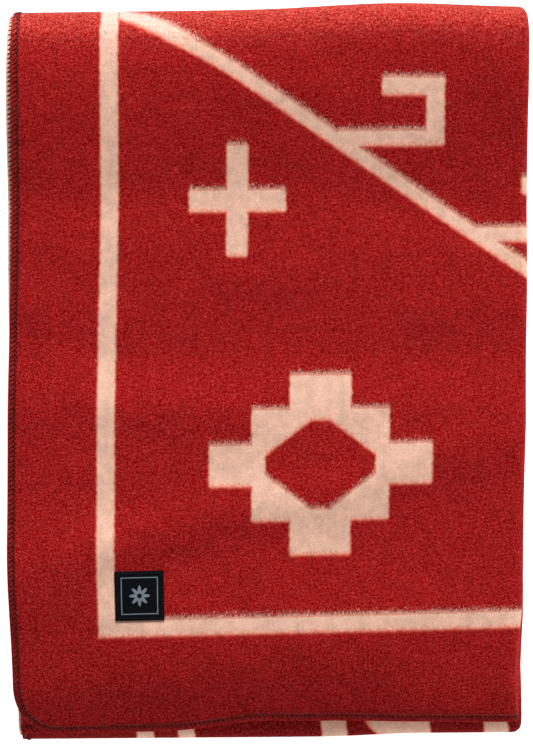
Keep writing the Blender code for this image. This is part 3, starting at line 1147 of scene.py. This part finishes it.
def make_wool_group():
    """Wool's colour from the cream shares of the point itself and of the hairs that lie over it.

    Hairs rooted in the next colour show over it, thinly, and the red just above the cream's upper
    edges gets painted shade. At the cream's lower edges the red hairs let the cream glow through,
    and the red just past an edge is warmer. Each colour runs from a dark to a light fibre by the
    grain. On the big fold both get painted light, the red a paler painted sheen and the cream a
    darker tone that offsets the strong light there, and the red gets painted shade in the lower
    fold at the open end.
    """
    nodes, given, result = new_group(
        "Wool colour",
        (
            ("Along", 0.0),
            ("Own", 0.0),
            ("Long hair", 0.0),
            ("Short hair", 0.0),
            ("Below", 0.0),
            ("Red", (0.3, 0.01, 0.01, 1.0)),
            ("Cream", (0.8, 0.5, 0.35, 1.0)),
            ("Grain", 0.5),
            ("Clump", 0.5),
        ),
        (("Colour", (0.0, 0.0, 0.0, 1.0)),),
    )
    along, own, long_hair, short_hair, below, red, cream, grain, clump = given[:9]
    # Painted light on the big fold: the red painted paler as a sheen, the cream darker to offset
    # the strong light there
    off_fold = nodes.math("ABSOLUTE", nodes.less(along, BIG_FOLD_ALONG))
    painted_fold_light = nodes.remap(off_fold, BIG_FOLD_REACH, 0.0, 0.0, PAINTED_FOLD_LIGHT, smooth=True)
    # Painted shade: the red darkened towards black in the lower fold at the open end
    off_tuck = nodes.math("ABSOLUTE", nodes.less(along, LOWER_FOLD_ALONG))
    tuck = nodes.remap(off_tuck, *LOWER_FOLD_RUN, 0.0, LOWER_FOLD_PAINTED_SHADE, smooth=True)
    reds = fibre_tones(nodes, nodes.mix(painted_fold_light, red, PAINTED_FOLD_LIGHT_RED), RED_FIBRES, grain)
    reds = nodes.mix(tuck, reds, (0.0, 0.0, 0.0, 1.0))
    creams = fibre_tones(nodes, nodes.mix(painted_fold_light, cream, PAINTED_FOLD_LIGHT_CREAM), CREAM_FIBRES, grain)

    tints = (
        (nodes.times(own, nodes.less(1.0, own)), EDGE_STRENGTH, EDGE_TINT),
        # painted shade on the red just above the cream's upper edges
        (nodes.less(short_hair, own, clamp=True), PAINTED_SHADE_STRENGTH, PAINTED_SHADE_TINT),
        (nodes.less(long_hair, own, clamp=True), HAIR_STRENGTH, creams),
        (nodes.less(own, short_hair, clamp=True), GLOW_STRENGTH, GLOW_TINT),
        (nodes.less(below, own, clamp=True), UNDER_STRENGTH, UNDER_TINT),
    )
    colour = nodes.mix(own, reds, creams)
    for share, strength, tint in tints:
        colour = nodes.mix(nodes.times(share, strength), colour, tint)
    light = nodes.remap(clump, 0.0, 1.0, *CLUMP_LIGHT)
    nodes.join(nodes.lit(colour, light), result[0])


def new_material(name):
    """A material with a Principled BSDF; returns it, its nodes and that shader."""
    material = bpy.data.materials.new(name)
    material.use_nodes = True
    tree = material.node_tree
    return material, Nodes(tree), tree.nodes["Principled BSDF"]


def add_bump(nodes, shader, height, strength, distance):
    """Raises a surface by a height from 0 to 1, which stands for this distance."""
    values = {"Height": height, "Strength": strength, "Distance": distance}
    bump = nodes.add("ShaderNodeBump", values)
    nodes.join(bump.outputs[0], shader.inputs["Normal"])


def wool_shader(shader, sheen):
    """Settings that all the wool shares: no gloss, and the pale sheen of brushed fibres."""
    shader.inputs["Roughness"].default_value = 0.95
    shader.inputs["Specular IOR Level"].default_value = 0.04
    shader.inputs["Sheen Weight"].default_value = sheen
    shader.inputs["Sheen Roughness"].default_value = 0.45
    shader.inputs["Sheen Tint"].default_value = (1.0, 0.45, 0.38, 1.0)


def wool_cloth_material(cloth, nap):
    """Brushed wool that follows the cloth, with the pattern drawn by where each fibre is rooted."""
    material, nodes, shader = new_material("Brushed wool cloth")
    flat = nodes.attribute("flat")
    brushed = nodes.group("Brushed wool", {"Flat": flat, "Reach": nap.reach}).outputs
    own = brushed["Own"]
    covered = cream_share(nodes, back_along(nodes, own, 0.0, nap.cover))
    values = {
        "Along": nodes.parts(flat)[1],
        "Own": nodes.smallest(cream_share(nodes, own), covered),
        "Long hair": cream_share(nodes, brushed["Long hair"]),
        "Short hair": cream_share(nodes, brushed["Short hair"]),
        "Below": cream_share(nodes, back_along(nodes, own, 0.0, -nap.cover)),
        "Red": (*cloth.red, 1.0),
        "Cream": (*cloth.cream, 1.0),
        "Grain": brushed["Grain"],
        "Clump": brushed["Clump"],
    }
    nodes.join(nodes.group("Wool colour", values).outputs[0], shader.inputs["Base Color"])
    add_bump(nodes, shader, brushed["Relief"], 1.0, RELIEF_HEIGHT)
    wool_shader(shader, 0.08)
    return material


def wool_strand_material(cloth):
    """Single fibres, each in the colour of the wool at its root."""
    material, nodes, shader = new_material("Wool strands")
    flat = nodes.attribute("flat")
    grain, clump = nodes.parts(nodes.attribute("tone"))[:2]
    own = cream_share(nodes, flat)
    values = {
        "Along": nodes.parts(flat)[1],
        "Own": own,
        "Long hair": own,
        "Short hair": own,
        "Below": own,
        "Red": (*cloth.red, 1.0),
        "Cream": (*cloth.cream, 1.0),
        "Grain": grain,
        "Clump": clump,
    }
    nodes.join(nodes.group("Wool colour", values).outputs[0], shader.inputs["Base Color"])
    wool_shader(shader, 0.05)
    return material


def thread_material(colour, name):
    """Twisted sewing thread: fine turns that stand up, an uneven tone and a slight gloss."""
    material, nodes, shader = new_material(name)
    where = nodes.add("ShaderNodeTexCoord").outputs["Object"]
    twist = nodes.add(
        "ShaderNodeTexWave", {"Vector": where, "Scale": 900.0, "Distortion": 2.0}, wave_type="BANDS"
    )
    tone = nodes.add("ShaderNodeTexNoise", {"Vector": where, "Scale": 240.0, "Detail": 2.0})
    light = nodes.remap(tone.outputs[0], 0.3, 0.7, 0.65, 1.45)
    nodes.join(nodes.lit((*colour, 1.0), light), shader.inputs["Base Color"])
    add_bump(nodes, shader, twist.outputs[0], 0.4, 0.0002)
    shader.inputs["Roughness"].default_value = 0.75
    shader.inputs["Specular IOR Level"].default_value = 0.12
    return material


def label_material(sewing):
    """Fine woven label: close ribs, a plain frame line and a small flower of eight petals.

    The flower's outline is r = reach(cos 8a), with a hole in its middle.
    """
    material, nodes, shader = new_material("Woven label")
    place = nodes.attribute("face")
    x, y, on_face = nodes.parts(place)
    square = nodes.largest(nodes.math("ABSOLUTE", x), nodes.math("ABSOLUTE", y))
    off_line = nodes.math("ABSOLUTE", nodes.less(square, LABEL_FRAME_AT))
    frame_line = nodes.remap(off_line, *LABEL_FRAME_EDGE)
    turn = nodes.math("ARCTAN2", y, x)
    petal = nodes.math("COSINE", nodes.times(turn, PETALS))
    reach = nodes.remap(petal, -1.0, 1.0, *PETAL_REACH)
    from_middle = nodes.vector("LENGTH", nodes.combined(x, y))
    flower = nodes.remap(nodes.less(from_middle, reach), *PETAL_EDGE)
    flower = nodes.times(flower, nodes.remap(from_middle, *FLOWER_HOLE))
    figure = nodes.times(nodes.largest(frame_line, flower), on_face)

    threads = []
    for direction, scale, share in (("Y", 22.0, 0.6), ("X", 30.0, 0.4)):
        values = {"Vector": place, "Scale": scale, "Distortion": 0.6, "Detail": 1.0}
        wave = nodes.add("ShaderNodeTexWave", values, bands_direction=direction)
        threads.append(nodes.times(wave.outputs["Fac"], share))
    weave = nodes.math("ADD", *threads)
    light = nodes.remap(weave, 0.0, 1.0, 0.75, 1.25)
    ground, drawn = (*sewing.label_ground, 1.0), (*sewing.label_figure, 1.0)
    colour = nodes.lit(nodes.mix(figure, ground, drawn), light)
    nodes.join(colour, shader.inputs["Base Color"])
    add_bump(nodes, shader, weave, 0.35, 0.0002)
    shader.inputs["Roughness"].default_value = 0.8
    shader.inputs["Specular IOR Level"].default_value = 0.04
    return material


def with_corner_lines(places, cloth):
    """Adds the grid lines of the rounded corners at both ends of a list of places."""
    steps = cloth.corner_radius * np.arange(1, CORNER_CELLS + 1) / CORNER_CELLS
    between = (places > cloth.corner_radius) & (places < places[-1] - cloth.corner_radius)
    return np.concatenate(
        [[0.0], steps, places[between], places[-1] - steps[::-1], places[-1:]]
    )


def build_cloth(cloth, material):
    """The whole cloth as one closed sheet: cloth_point over a grid, on both of its sides.

    The rim joins them with a rounded edge: (outwards, lift) = (bulge cos a, half sin a). The
    vector called flat holds each point's place in the flat cloth, and 0 for the face or 1 for
    the reverse.
    """
    across = with_corner_lines(width_line(cloth).stations(ACROSS_CELLS), cloth)
    along = with_corner_lines(length_line(cloth).stations(ALONG_CELLS), cloth)
    flat_across, flat_along = round_corners(*np.meshgrid(across, along), cloth)
    half = cloth.thickness / 2
    grids = [cloth_point(flat_across, flat_along, lift, cloth) for lift in (half, -half)]

    edge = rim_order(*flat_across.shape)
    rim_across, rim_along = flat_across.ravel()[edge], flat_along.ravel()[edge]
    outwards = outward(rim_across, rim_along, cloth)
    rims, rim_flats = [], []
    for angle in RIM_ANGLES:
        bulge = RIM_BULGE * half * np.cos(angle)
        place = (rim_across + bulge * outwards[0], rim_along + bulge * outwards[1])
        rims.append(cloth_point(*place, half * np.sin(angle), cloth))
        side = np.full(len(edge), 0.0 if angle > 0 else 1.0)
        rim_flats.append(np.stack([rim_across, rim_along, side], axis=-1))
    thing = closed_sheet("blanket_cloth", grids, rims, material)

    flats = [
        np.stack([flat_across, flat_along, np.full(flat_across.shape, side)], axis=-1)
        for side in (0.0, 1.0)
    ]
    flats = np.concatenate([flat.reshape(-1, 3) for flat in flats] + rim_flats)
    add_vector(thing, "flat", flats)
    u, v = map_place(flats[:, 0], flats[:, 1])
    face_u = u * (MAP_FACE_SHARE - MAP_GAP)
    back_u = MAP_FACE_SHARE + u * (1.0 - MAP_FACE_SHARE)
    add_map(thing, "OFBake", np.stack([np.where(flats[:, 2] > 0.5, back_u, face_u), v], axis=-1))
    return thing


def outward(across, along, cloth):
    """Unit vector out of the cloth in its own plane, at points on its rounded outline."""
    radius = cloth.corner_radius
    off_across = across - np.clip(across, radius, cloth.width - radius)
    off_along = along - np.clip(along, radius, cloth.length - radius)
    length = np.hypot(off_across, off_along)
    return off_across / length, off_along / length


def outline(distance, cloth):
    """Point and outward direction at a distance round the cloth's outline, anticlockwise.

    Four straight sides and four quarter circles of the corner radius, from the face's open end.
    """
    radius = cloth.corner_radius
    arc = pi * radius / 2
    wide, long = cloth.width - 2 * radius, cloth.length - 2 * radius
    sides = (
        dict(start=(radius, 0.0), run=(1, 0), length=wide, turn=-pi / 2),
        dict(start=(cloth.width, radius), run=(0, 1), length=long, turn=0.0),
        dict(start=(cloth.width - radius, cloth.length), run=(-1, 0), length=wide, turn=pi / 2),
        dict(start=(0.0, cloth.length - radius), run=(0, -1), length=long, turn=pi),
    )
    around = 2 * (wide + long) + 4 * arc
    distance = distance % around
    place, out = np.zeros((2,) + distance.shape), np.zeros((2,) + distance.shape)
    begin = 0.0
    for side in sides:
        start, run = np.array(side["start"]), np.array(side["run"])
        straight = (distance >= begin) & (distance < begin + side["length"])
        place[:, straight] = start[:, None] + run[:, None] * (distance[straight] - begin)
        out[:, straight] = np.array([run[1], -run[0]])[:, None]
        begin += side["length"]
        bend = (distance >= begin) & (distance < begin + arc)
        angle = side["turn"] + (distance[bend] - begin) / radius
        out[:, bend] = np.stack([np.cos(angle), np.sin(angle)])
        centre = start + run * side["length"] - radius * np.array([run[1], -run[0]])
        place[:, bend] = centre[:, None] + radius * out[:, bend]
        begin += arc
    return place, out, around


def tubes(paths, radius, flatness=1.0):
    """Points and quads of many closed tubes: paths is (tube, place, 3).

    Round each place the ring is path + radius (flatness cos a n + sin a b), with n and b square
    to the path and n out of the cloth. A ring has four points, so its end is closed by one quad.
    """
    count, places = paths.shape[:2]
    along = np.gradient(paths, axis=1)
    along /= np.linalg.norm(along, axis=-1, keepdims=True)
    chord = paths[:, -1] - paths[:, 0]
    other = np.cross(chord, along[:, places // 2])
    weak = np.linalg.norm(other, axis=-1) < 1e-3 * np.linalg.norm(chord, axis=-1)
    other[weak] = np.cross(chord[weak], np.array([0.0, 0.0, 1.0]))
    normal = np.cross(along, other[:, None])
    normal /= np.linalg.norm(normal, axis=-1, keepdims=True)
    binormal = np.cross(along, normal)
    angle = 2 * pi * np.arange(THREAD_SIDES) / THREAD_SIDES
    ring = flatness * normal[:, :, None] * np.cos(angle)[:, None]
    ring = ring + binormal[:, :, None] * np.sin(angle)[:, None]
    points = paths[:, :, None] + radius * ring

    number = np.arange(places * THREAD_SIDES).reshape(places, THREAD_SIDES)
    turned = np.roll(number, -1, axis=1)
    walls = np.stack([number[:-1], turned[:-1], turned[1:], number[1:]], axis=-1).reshape(-1, 4)
    faces = np.concatenate([walls, number[:1, ::-1], number[-1:]])
    faces = (np.arange(count)[:, None, None] * places * THREAD_SIDES + faces).reshape(-1, 4)
    return points.reshape(-1, 3), faces


def stitch_starts(cloth, sewing):
    """Where each stitch begins round the outline, and the stitch length that fits it."""
    rng = np.random.default_rng(STITCH_SEED)
    around = outline(np.zeros(1), cloth)[2]
    count = int(round(around / sewing.stitch))
    pitch = around / count
    starts = np.arange(count)[:, None] * pitch
    return starts + rng.normal(0.0, STITCH_UNEVENNESS * pitch, starts.shape), pitch


def thread_paths(starts, pitch, rows, lifts, cloth):
    """Paths of threads over the edge: outline(start + along) less inwards times outward."""
    distance = starts + pitch * np.array([row["along"] for row in rows])
    place, out, _ = outline(distance, cloth)
    flat = place - np.array([row["inwards"] for row in rows]) * out
    return cloth_point(*flat, lifts + np.zeros_like(distance), cloth)


def threads_on_surface(paths, half_height, radius, flatness):
    """Tubes along these paths, pressed up where they would reach under the blanket's base."""
    paths[..., 2] = np.maximum(paths[..., 2], half_height)
    points, faces = tubes(paths, radius, flatness)
    points[:, 2] = np.maximum(points[:, 2], 0.0)
    return points, faces


def build_stitches(cloth, sewing, material):
    """Overlock stitches: for each one a flat thread that slants over the edge, front to back."""
    starts, pitch = stitch_starts(cloth, sewing)
    half_height = STITCH_FLATNESS * sewing.thread_radius
    stand = cloth.thickness / 2 + 0.5 * half_height
    lifts = stand * np.array([row["side"] for row in STITCH_PLACES])
    paths = thread_paths(starts, pitch, STITCH_PLACES, lifts, cloth)
    points, faces = threads_on_surface(paths, half_height, sewing.thread_radius, STITCH_FLATNESS)
    return new_mesh("overlock_stitches", points, faces, material)


def build_chain(cloth, sewing, material):
    """The chain inside the stitches: two threads a stitch, which cross one over the other."""
    starts, pitch = stitch_starts(cloth, sewing)
    radius = sewing.chain_radius
    points, faces = [], []
    for rows, over in zip(CHAIN_PLACES, CHAIN_LIFTS):
        lift = cloth.thickness / 2 + over * radius
        paths = thread_paths(starts, pitch, rows, lift, cloth)
        thread_points, thread_faces = threads_on_surface(paths, radius, radius, CHAIN_FLATNESS)
        faces.append(thread_faces + sum(len(part) for part in points))
        points.append(thread_points)
    return new_mesh("overlock_chain", np.concatenate(points), np.concatenate(faces), material)


def build_strands(area, cloth, nap, material, rng):
    """Thin closed spikes: a base triangle at the root and a tip brushed along the cloth.

    The tip is root + length (sin a, cos a) in the cloth's plane, a mostly near 0, and stands
    off the face by a small lift. The vector called flat holds the root's place in the flat
    cloth, and the one called tone holds the strand's own grain and clump.
    """
    count = int(area["strands"] * nap.share)
    across = rng.uniform(*area["across"], count)
    along = rng.uniform(*area["along"], count)
    length = nap.strand_length * rng.gamma(STRAND_EVENNESS, 1.0 / STRAND_EVENNESS, count)
    angle = rng.normal(0.0, STRAND_TURN, count)
    half = cloth.thickness / 2
    root = cloth_point(across, along, np.full(count, half - STRAND_SINK), cloth)
    tip_lift = half + nap.strand_lift * rng.uniform(*STRAND_LIFTS, count)
    tip_across = np.clip(across + length * np.sin(angle), STRAND_EDGE, None)
    tip = cloth_point(tip_across, along + length * np.cos(angle), tip_lift, cloth)

    run = tip - root
    run /= np.linalg.norm(run, axis=-1, keepdims=True)
    up = cloth_point(across, along, np.full(count, half + 0.001), cloth) - root
    sideways = np.cross(run, up)
    sideways /= np.linalg.norm(sideways, axis=-1, keepdims=True)
    down = np.cross(run, sideways)
    breadth = (nap.strand_breadth * rng.uniform(*STRAND_BREADTHS, count))[:, None] / 2
    base = [
        root + breadth * sideways,
        root - breadth * sideways,
        root + STRAND_DEPTH * breadth * down,
    ]
    points = np.stack(base + [tip], axis=1)
    corners = np.array([(0, 1, 2), (0, 3, 1), (1, 3, 2), (2, 3, 0)])
    faces = (4 * np.arange(count)[:, None, None] + corners).reshape(-1, 3)
    edges = points[:, 1:] - points[:, :1]
    volume = np.einsum("ij,ij->i", edges[:, 2], np.cross(edges[:, 0], edges[:, 1]))
    if volume.mean() > 0:
        faces = faces[:, ::-1]
    thing = new_mesh(area["name"], points.reshape(-1, 3), faces, material)

    flat = np.stack([across, along, np.zeros(count)], axis=-1)
    add_vector(thing, "flat", np.repeat(flat, 4, axis=0))
    tones = [rng.uniform(0.0, most, count) for most in STRAND_TONES]
    tone = np.stack([*tones, np.zeros(count)], axis=-1)
    add_vector(thing, "tone", np.repeat(tone, 4, axis=0))
    low, high = np.transpose([area["across"], area["along"]])
    spot = MAP_STRAND_MARGIN + MAP_STRAND_REACH * (flat[:, :2] - low) / (high - low)
    offsets = MAP_STRAND * np.array([(0, 0), (1, 0), (0, 1), (1, 1)])
    add_map(thing, "OFBake", (spot[:, None] + offsets).reshape(-1, 2))
    return thing


def label_place(share, cloth, sewing):
    """Where a place of the label, from -1 to 1, lies across or along the flat cloth."""
    half = sewing.label_size / 2
    return cloth.border_inset + cloth.border_breadth + half + half * share


def build_label(cloth, sewing, material):
    """The label: a thin closed sheet over x and y from -1 to 1.

    Its top is crowned by (1 - x^2)(1 - y^2) and falls off softly by max(|x|, |y|)^14. The vector
    called face holds x, y, and 1 for the top.
    """
    steps = np.linspace(-1.0, 1.0, LABEL_CELLS + 1)
    x, y = np.meshgrid(steps, steps)
    across, along = label_place(x, cloth, sewing), label_place(y, cloth, sewing)
    base = cloth.thickness / 2 + LABEL_GAP
    crown = LABEL_CROWN * (1.0 - x * x) * (1.0 - y * y)
    soft_edge = LABEL_CROWN * np.maximum(np.abs(x), np.abs(y)) ** LABEL_EDGE_POWER
    top = base + sewing.label_thickness + crown - soft_edge
    grids = [cloth_point(across, along, lift, cloth) for lift in (top, np.full_like(x, base))]

    edge = rim_order(*across.shape)
    edge_x, edge_y, edge_top = x.ravel()[edge], y.ravel()[edge], top.ravel()[edge]
    rims = []
    for share in LABEL_RIM_SHARES:
        out = LABEL_RIM_BULGE * np.sin(pi * share)
        place = (across.ravel()[edge] + out * edge_x, along.ravel()[edge] + out * edge_y)
        rims.append(cloth_point(*place, base + share * (edge_top - base), cloth))
    thing = closed_sheet("woven_label", grids, rims, material)

    top_face = np.stack([x.ravel(), y.ravel(), np.ones(x.size)], axis=-1)
    other_face = top_face * (1.0, 1.0, 0.0)
    rings = [other_face[edge]] * len(rims)
    add_vector(thing, "face", np.concatenate([top_face, other_face, *rings]))
    return thing


def build_label_sewing(cloth, sewing, material):
    """Running stitches round the label, a little inside its edge: short closed threads.

    A stitch's thread is middle + share of the way along its side, and dips in at both ends.
    """
    steps = (np.arange(LABEL_STITCHES_A_SIDE) + 0.5) / LABEL_STITCHES_A_SIDE * 2.0 - 1.0
    sides = (((1, 0), (0, -1)), ((0, 1), (1, 0)), ((1, 0), (0, 1)), ((0, 1), (-1, 0)))
    shares = np.array(LABEL_STITCH_SHARES)[:, None]
    places = []
    for run, away in sides:
        run, away = np.array(run, float), np.array(away, float)
        middles = steps[:, None] * run * LABEL_STITCHES_AT + away * LABEL_STITCHES_AT
        places.append(middles[:, None] + run * shares)
    flat = label_place(np.concatenate(places), cloth, sewing)
    top = cloth.thickness / 2 + LABEL_GAP + sewing.label_thickness
    lifts = top + np.array(LABEL_STITCH_LIFTS) + np.zeros(flat.shape[:2])
    paths = cloth_point(flat[..., 0], flat[..., 1], lifts, cloth)
    points, faces = tubes(paths, LABEL_THREAD_RADIUS)
    return new_mesh("label_sewing", points, faces, material)


class BLANKET_OT_cloth(bpy.types.Operator):
    """Make the folded cloth as one closed sheet, in place of its solid"""

    bl_idname = "blanket.make_cloth"
    bl_label = "Make the cloth"

    def execute(self, context):
        cloth, nap = context.scene.blanket_cloth, context.scene.blanket_nap
        make_bar_group()
        make_motif_group(cloth)
        make_brush_group()
        make_wool_group()
        thing = build_cloth(cloth, wool_cloth_material(cloth, nap))
        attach(thing, "root")
        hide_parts("blanket")
        return {"FINISHED"}


class BLANKET_OT_nap(bpy.types.Operator):
    """Make the brushed wool that stands up from the face and the folds"""

    bl_idname = "blanket.make_nap"
    bl_label = "Make the brushed wool"

    def execute(self, context):
        cloth, nap = context.scene.blanket_cloth, context.scene.blanket_nap
        material = wool_strand_material(cloth)
        rng = np.random.default_rng(nap.seed)
        for area in NAP_AREAS:
            thing = build_strands(area, cloth, nap, material, rng)
            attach(thing, "root")
        return {"FINISHED"}


class BLANKET_OT_overlock(bpy.types.Operator):
    """Make the overlock thread round the whole edge of the cloth"""

    bl_idname = "blanket.make_overlock"
    bl_label = "Make the sewn edge"

    def execute(self, context):
        cloth, sewing = context.scene.blanket_cloth, context.scene.blanket_sewing
        stitches = build_stitches(cloth, sewing, thread_material(sewing.thread, "Stitch thread"))
        chain = build_chain(cloth, sewing, thread_material(sewing.chain, "Chain thread"))
        for thing in (stitches, chain):
            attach(thing, "root")
        return {"FINISHED"}


class BLANKET_OT_label(bpy.types.Operator):
    """Make the woven label and its sewing, in place of the label's solid"""

    bl_idname = "blanket.make_label"
    bl_label = "Make the label"

    def execute(self, context):
        cloth, sewing = context.scene.blanket_cloth, context.scene.blanket_sewing
        thing = build_label(cloth, sewing, label_material(sewing))
        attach(thing, "root")
        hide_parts("label")
        black = thread_material(LABEL_THREAD, "Label thread")
        seam = build_label_sewing(cloth, sewing, black)
        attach(seam, "root")
        return {"FINISHED"}


class BLANKET_OT_stage(bpy.types.Operator):
    """Make the pale floor, the soft lights and the camera straight above"""

    bl_idname = "blanket.make_stage"
    bl_label = "Make the stage"

    def execute(self, context):
        stage = context.scene.blanket_stage
        make_floor(stage)
        make_lights(stage)
        make_camera(stage)
        return {"FINISHED"}


def make_floor(stage):
    """A wide pale floor just under the stack, which gives out light of its own."""
    corners = FLOOR_HALF * np.array([(-1, -1, 0), (1, -1, 0), (1, 1, 0), (-1, 1, 0)])
    material, _, shader = new_material("Pale floor")
    shader.inputs["Base Color"].default_value = FLOOR_COLOUR
    shader.inputs["Roughness"].default_value = 0.9
    shader.inputs["Emission Color"].default_value = (1.0, 1.0, 1.0, 1.0)
    shader.inputs["Emission Strength"].default_value = stage.floor_glow
    floor = new_mesh("floor", corners, np.array([(0, 1, 2, 3)]), material)


def make_sun(name, strength, softness, turn, elevation):
    """A sun whose light comes from (sin turn cos e, cos turn cos e, sin e), e its elevation."""
    data = bpy.data.lights.new(name, "SUN")
    data.energy = strength
    data.angle = softness
    data.color = SUN_COLOUR
    light = bpy.data.objects.new(name, data)
    level = cos(elevation)
    towards = Vector((sin(turn) * level, cos(turn) * level, sin(elevation)))
    light.location = SUN_DISTANCE * towards
    light.rotation_mode = "QUATERNION"
    light.rotation_quaternion = towards.to_track_quat("Z", "Y")
    bpy.context.scene.collection.objects.link(light)


def make_lights(stage):
    """Soft light from low behind the big fold, a very low one from the open end, an even fill."""
    make_sun("key", stage.key_strength, KEY_SOFTNESS, KEY_TURN, stage.key_elevation)
    make_sun("low", stage.low_strength, LOW_SOFTNESS, LOW_TURN, LOW_ELEVATION)
    world = bpy.data.worlds.new("Even light")
    world.use_nodes = True
    background = world.node_tree.nodes["Background"]
    background.inputs["Color"].default_value = FILL_COLOUR
    background.inputs["Strength"].default_value = stage.fill_strength
    bpy.context.scene.world = world


def make_camera(stage):
    """Straight down on the middle of the picture, as wide as the photograph's frame."""
    top = CAD_BOX[1][2]
    data = bpy.data.cameras.new("camera")
    data.sensor_fit = "VERTICAL"
    data.sensor_height = SENSOR_HEIGHT
    data.lens = data.sensor_height * (stage.camera_height - top) / stage.picture_height
    camera = bpy.data.objects.new("camera", data)
    camera.location = (*CAMERA_PLACE, stage.camera_height)
    bpy.context.scene.collection.objects.link(camera)
    bpy.context.scene.camera = camera
    bpy.context.scene.view_settings.view_transform = "Standard"


class BLANKET_PT_panel(bpy.types.Panel):
    """Lists the steps that make the blanket, with their sizes and colours."""

    bl_idname = "BLANKET_PT_panel"
    bl_label = "Folded wool blanket"
    bl_space_type = "VIEW_3D"
    bl_region_type = "UI"
    bl_category = "Blanket"

    def draw(self, context):
        scene = context.scene
        for group, step in zip(SETTINGS, STEPS_IN_PANEL):
            box = self.layout.box()
            for name in step:
                box.operator(name)
            settings = getattr(scene, group)
            for key in settings.bl_rna.properties.keys():
                if key not in ("rna_type", "name"):
                    box.prop(settings, key)


SETTINGS = {
    "blanket_cloth": BlanketCloth,
    "blanket_nap": BlanketNap,
    "blanket_sewing": BlanketSewing,
    "blanket_stage": BlanketStage,
}
STEPS_IN_PANEL = (
    ("blanket.make_cloth",),
    ("blanket.make_nap",),
    ("blanket.make_overlock", "blanket.make_label"),
    ("blanket.make_stage",),
)
CLASSES = (
    *SETTINGS.values(),
    BLANKET_OT_cloth,
    BLANKET_OT_nap,
    BLANKET_OT_overlock,
    BLANKET_OT_label,
    BLANKET_OT_stage,
    BLANKET_PT_panel,
)


def register():
    for one in CLASSES:
        bpy.utils.register_class(one)
    for name, one in SETTINGS.items():
        setattr(bpy.types.Scene, name, PointerProperty(type=one))


def unregister():
    for name in SETTINGS:
        delattr(bpy.types.Scene, name)
    for one in reversed(CLASSES):
        bpy.utils.unregister_class(one)


def declare_cloth():
    """Gathers the pieces that lie on the cloth, the overlock threads and the strands; nothing more
    is done with them.
    """
    on_it = [bpy.data.objects[name] for name in ("overlock_stitches", "overlock_chain")]
    on_it += [bpy.data.objects[area["name"]] for area in NAP_AREAS]


def main():
    register()
    bpy.ops.blanket.make_stage()
    bpy.ops.blanket.make_cloth()
    bpy.ops.blanket.make_nap()
    bpy.ops.blanket.make_overlock()
    bpy.ops.blanket.make_label()
    declare_cloth()


if __name__ == "__main__":
    main()
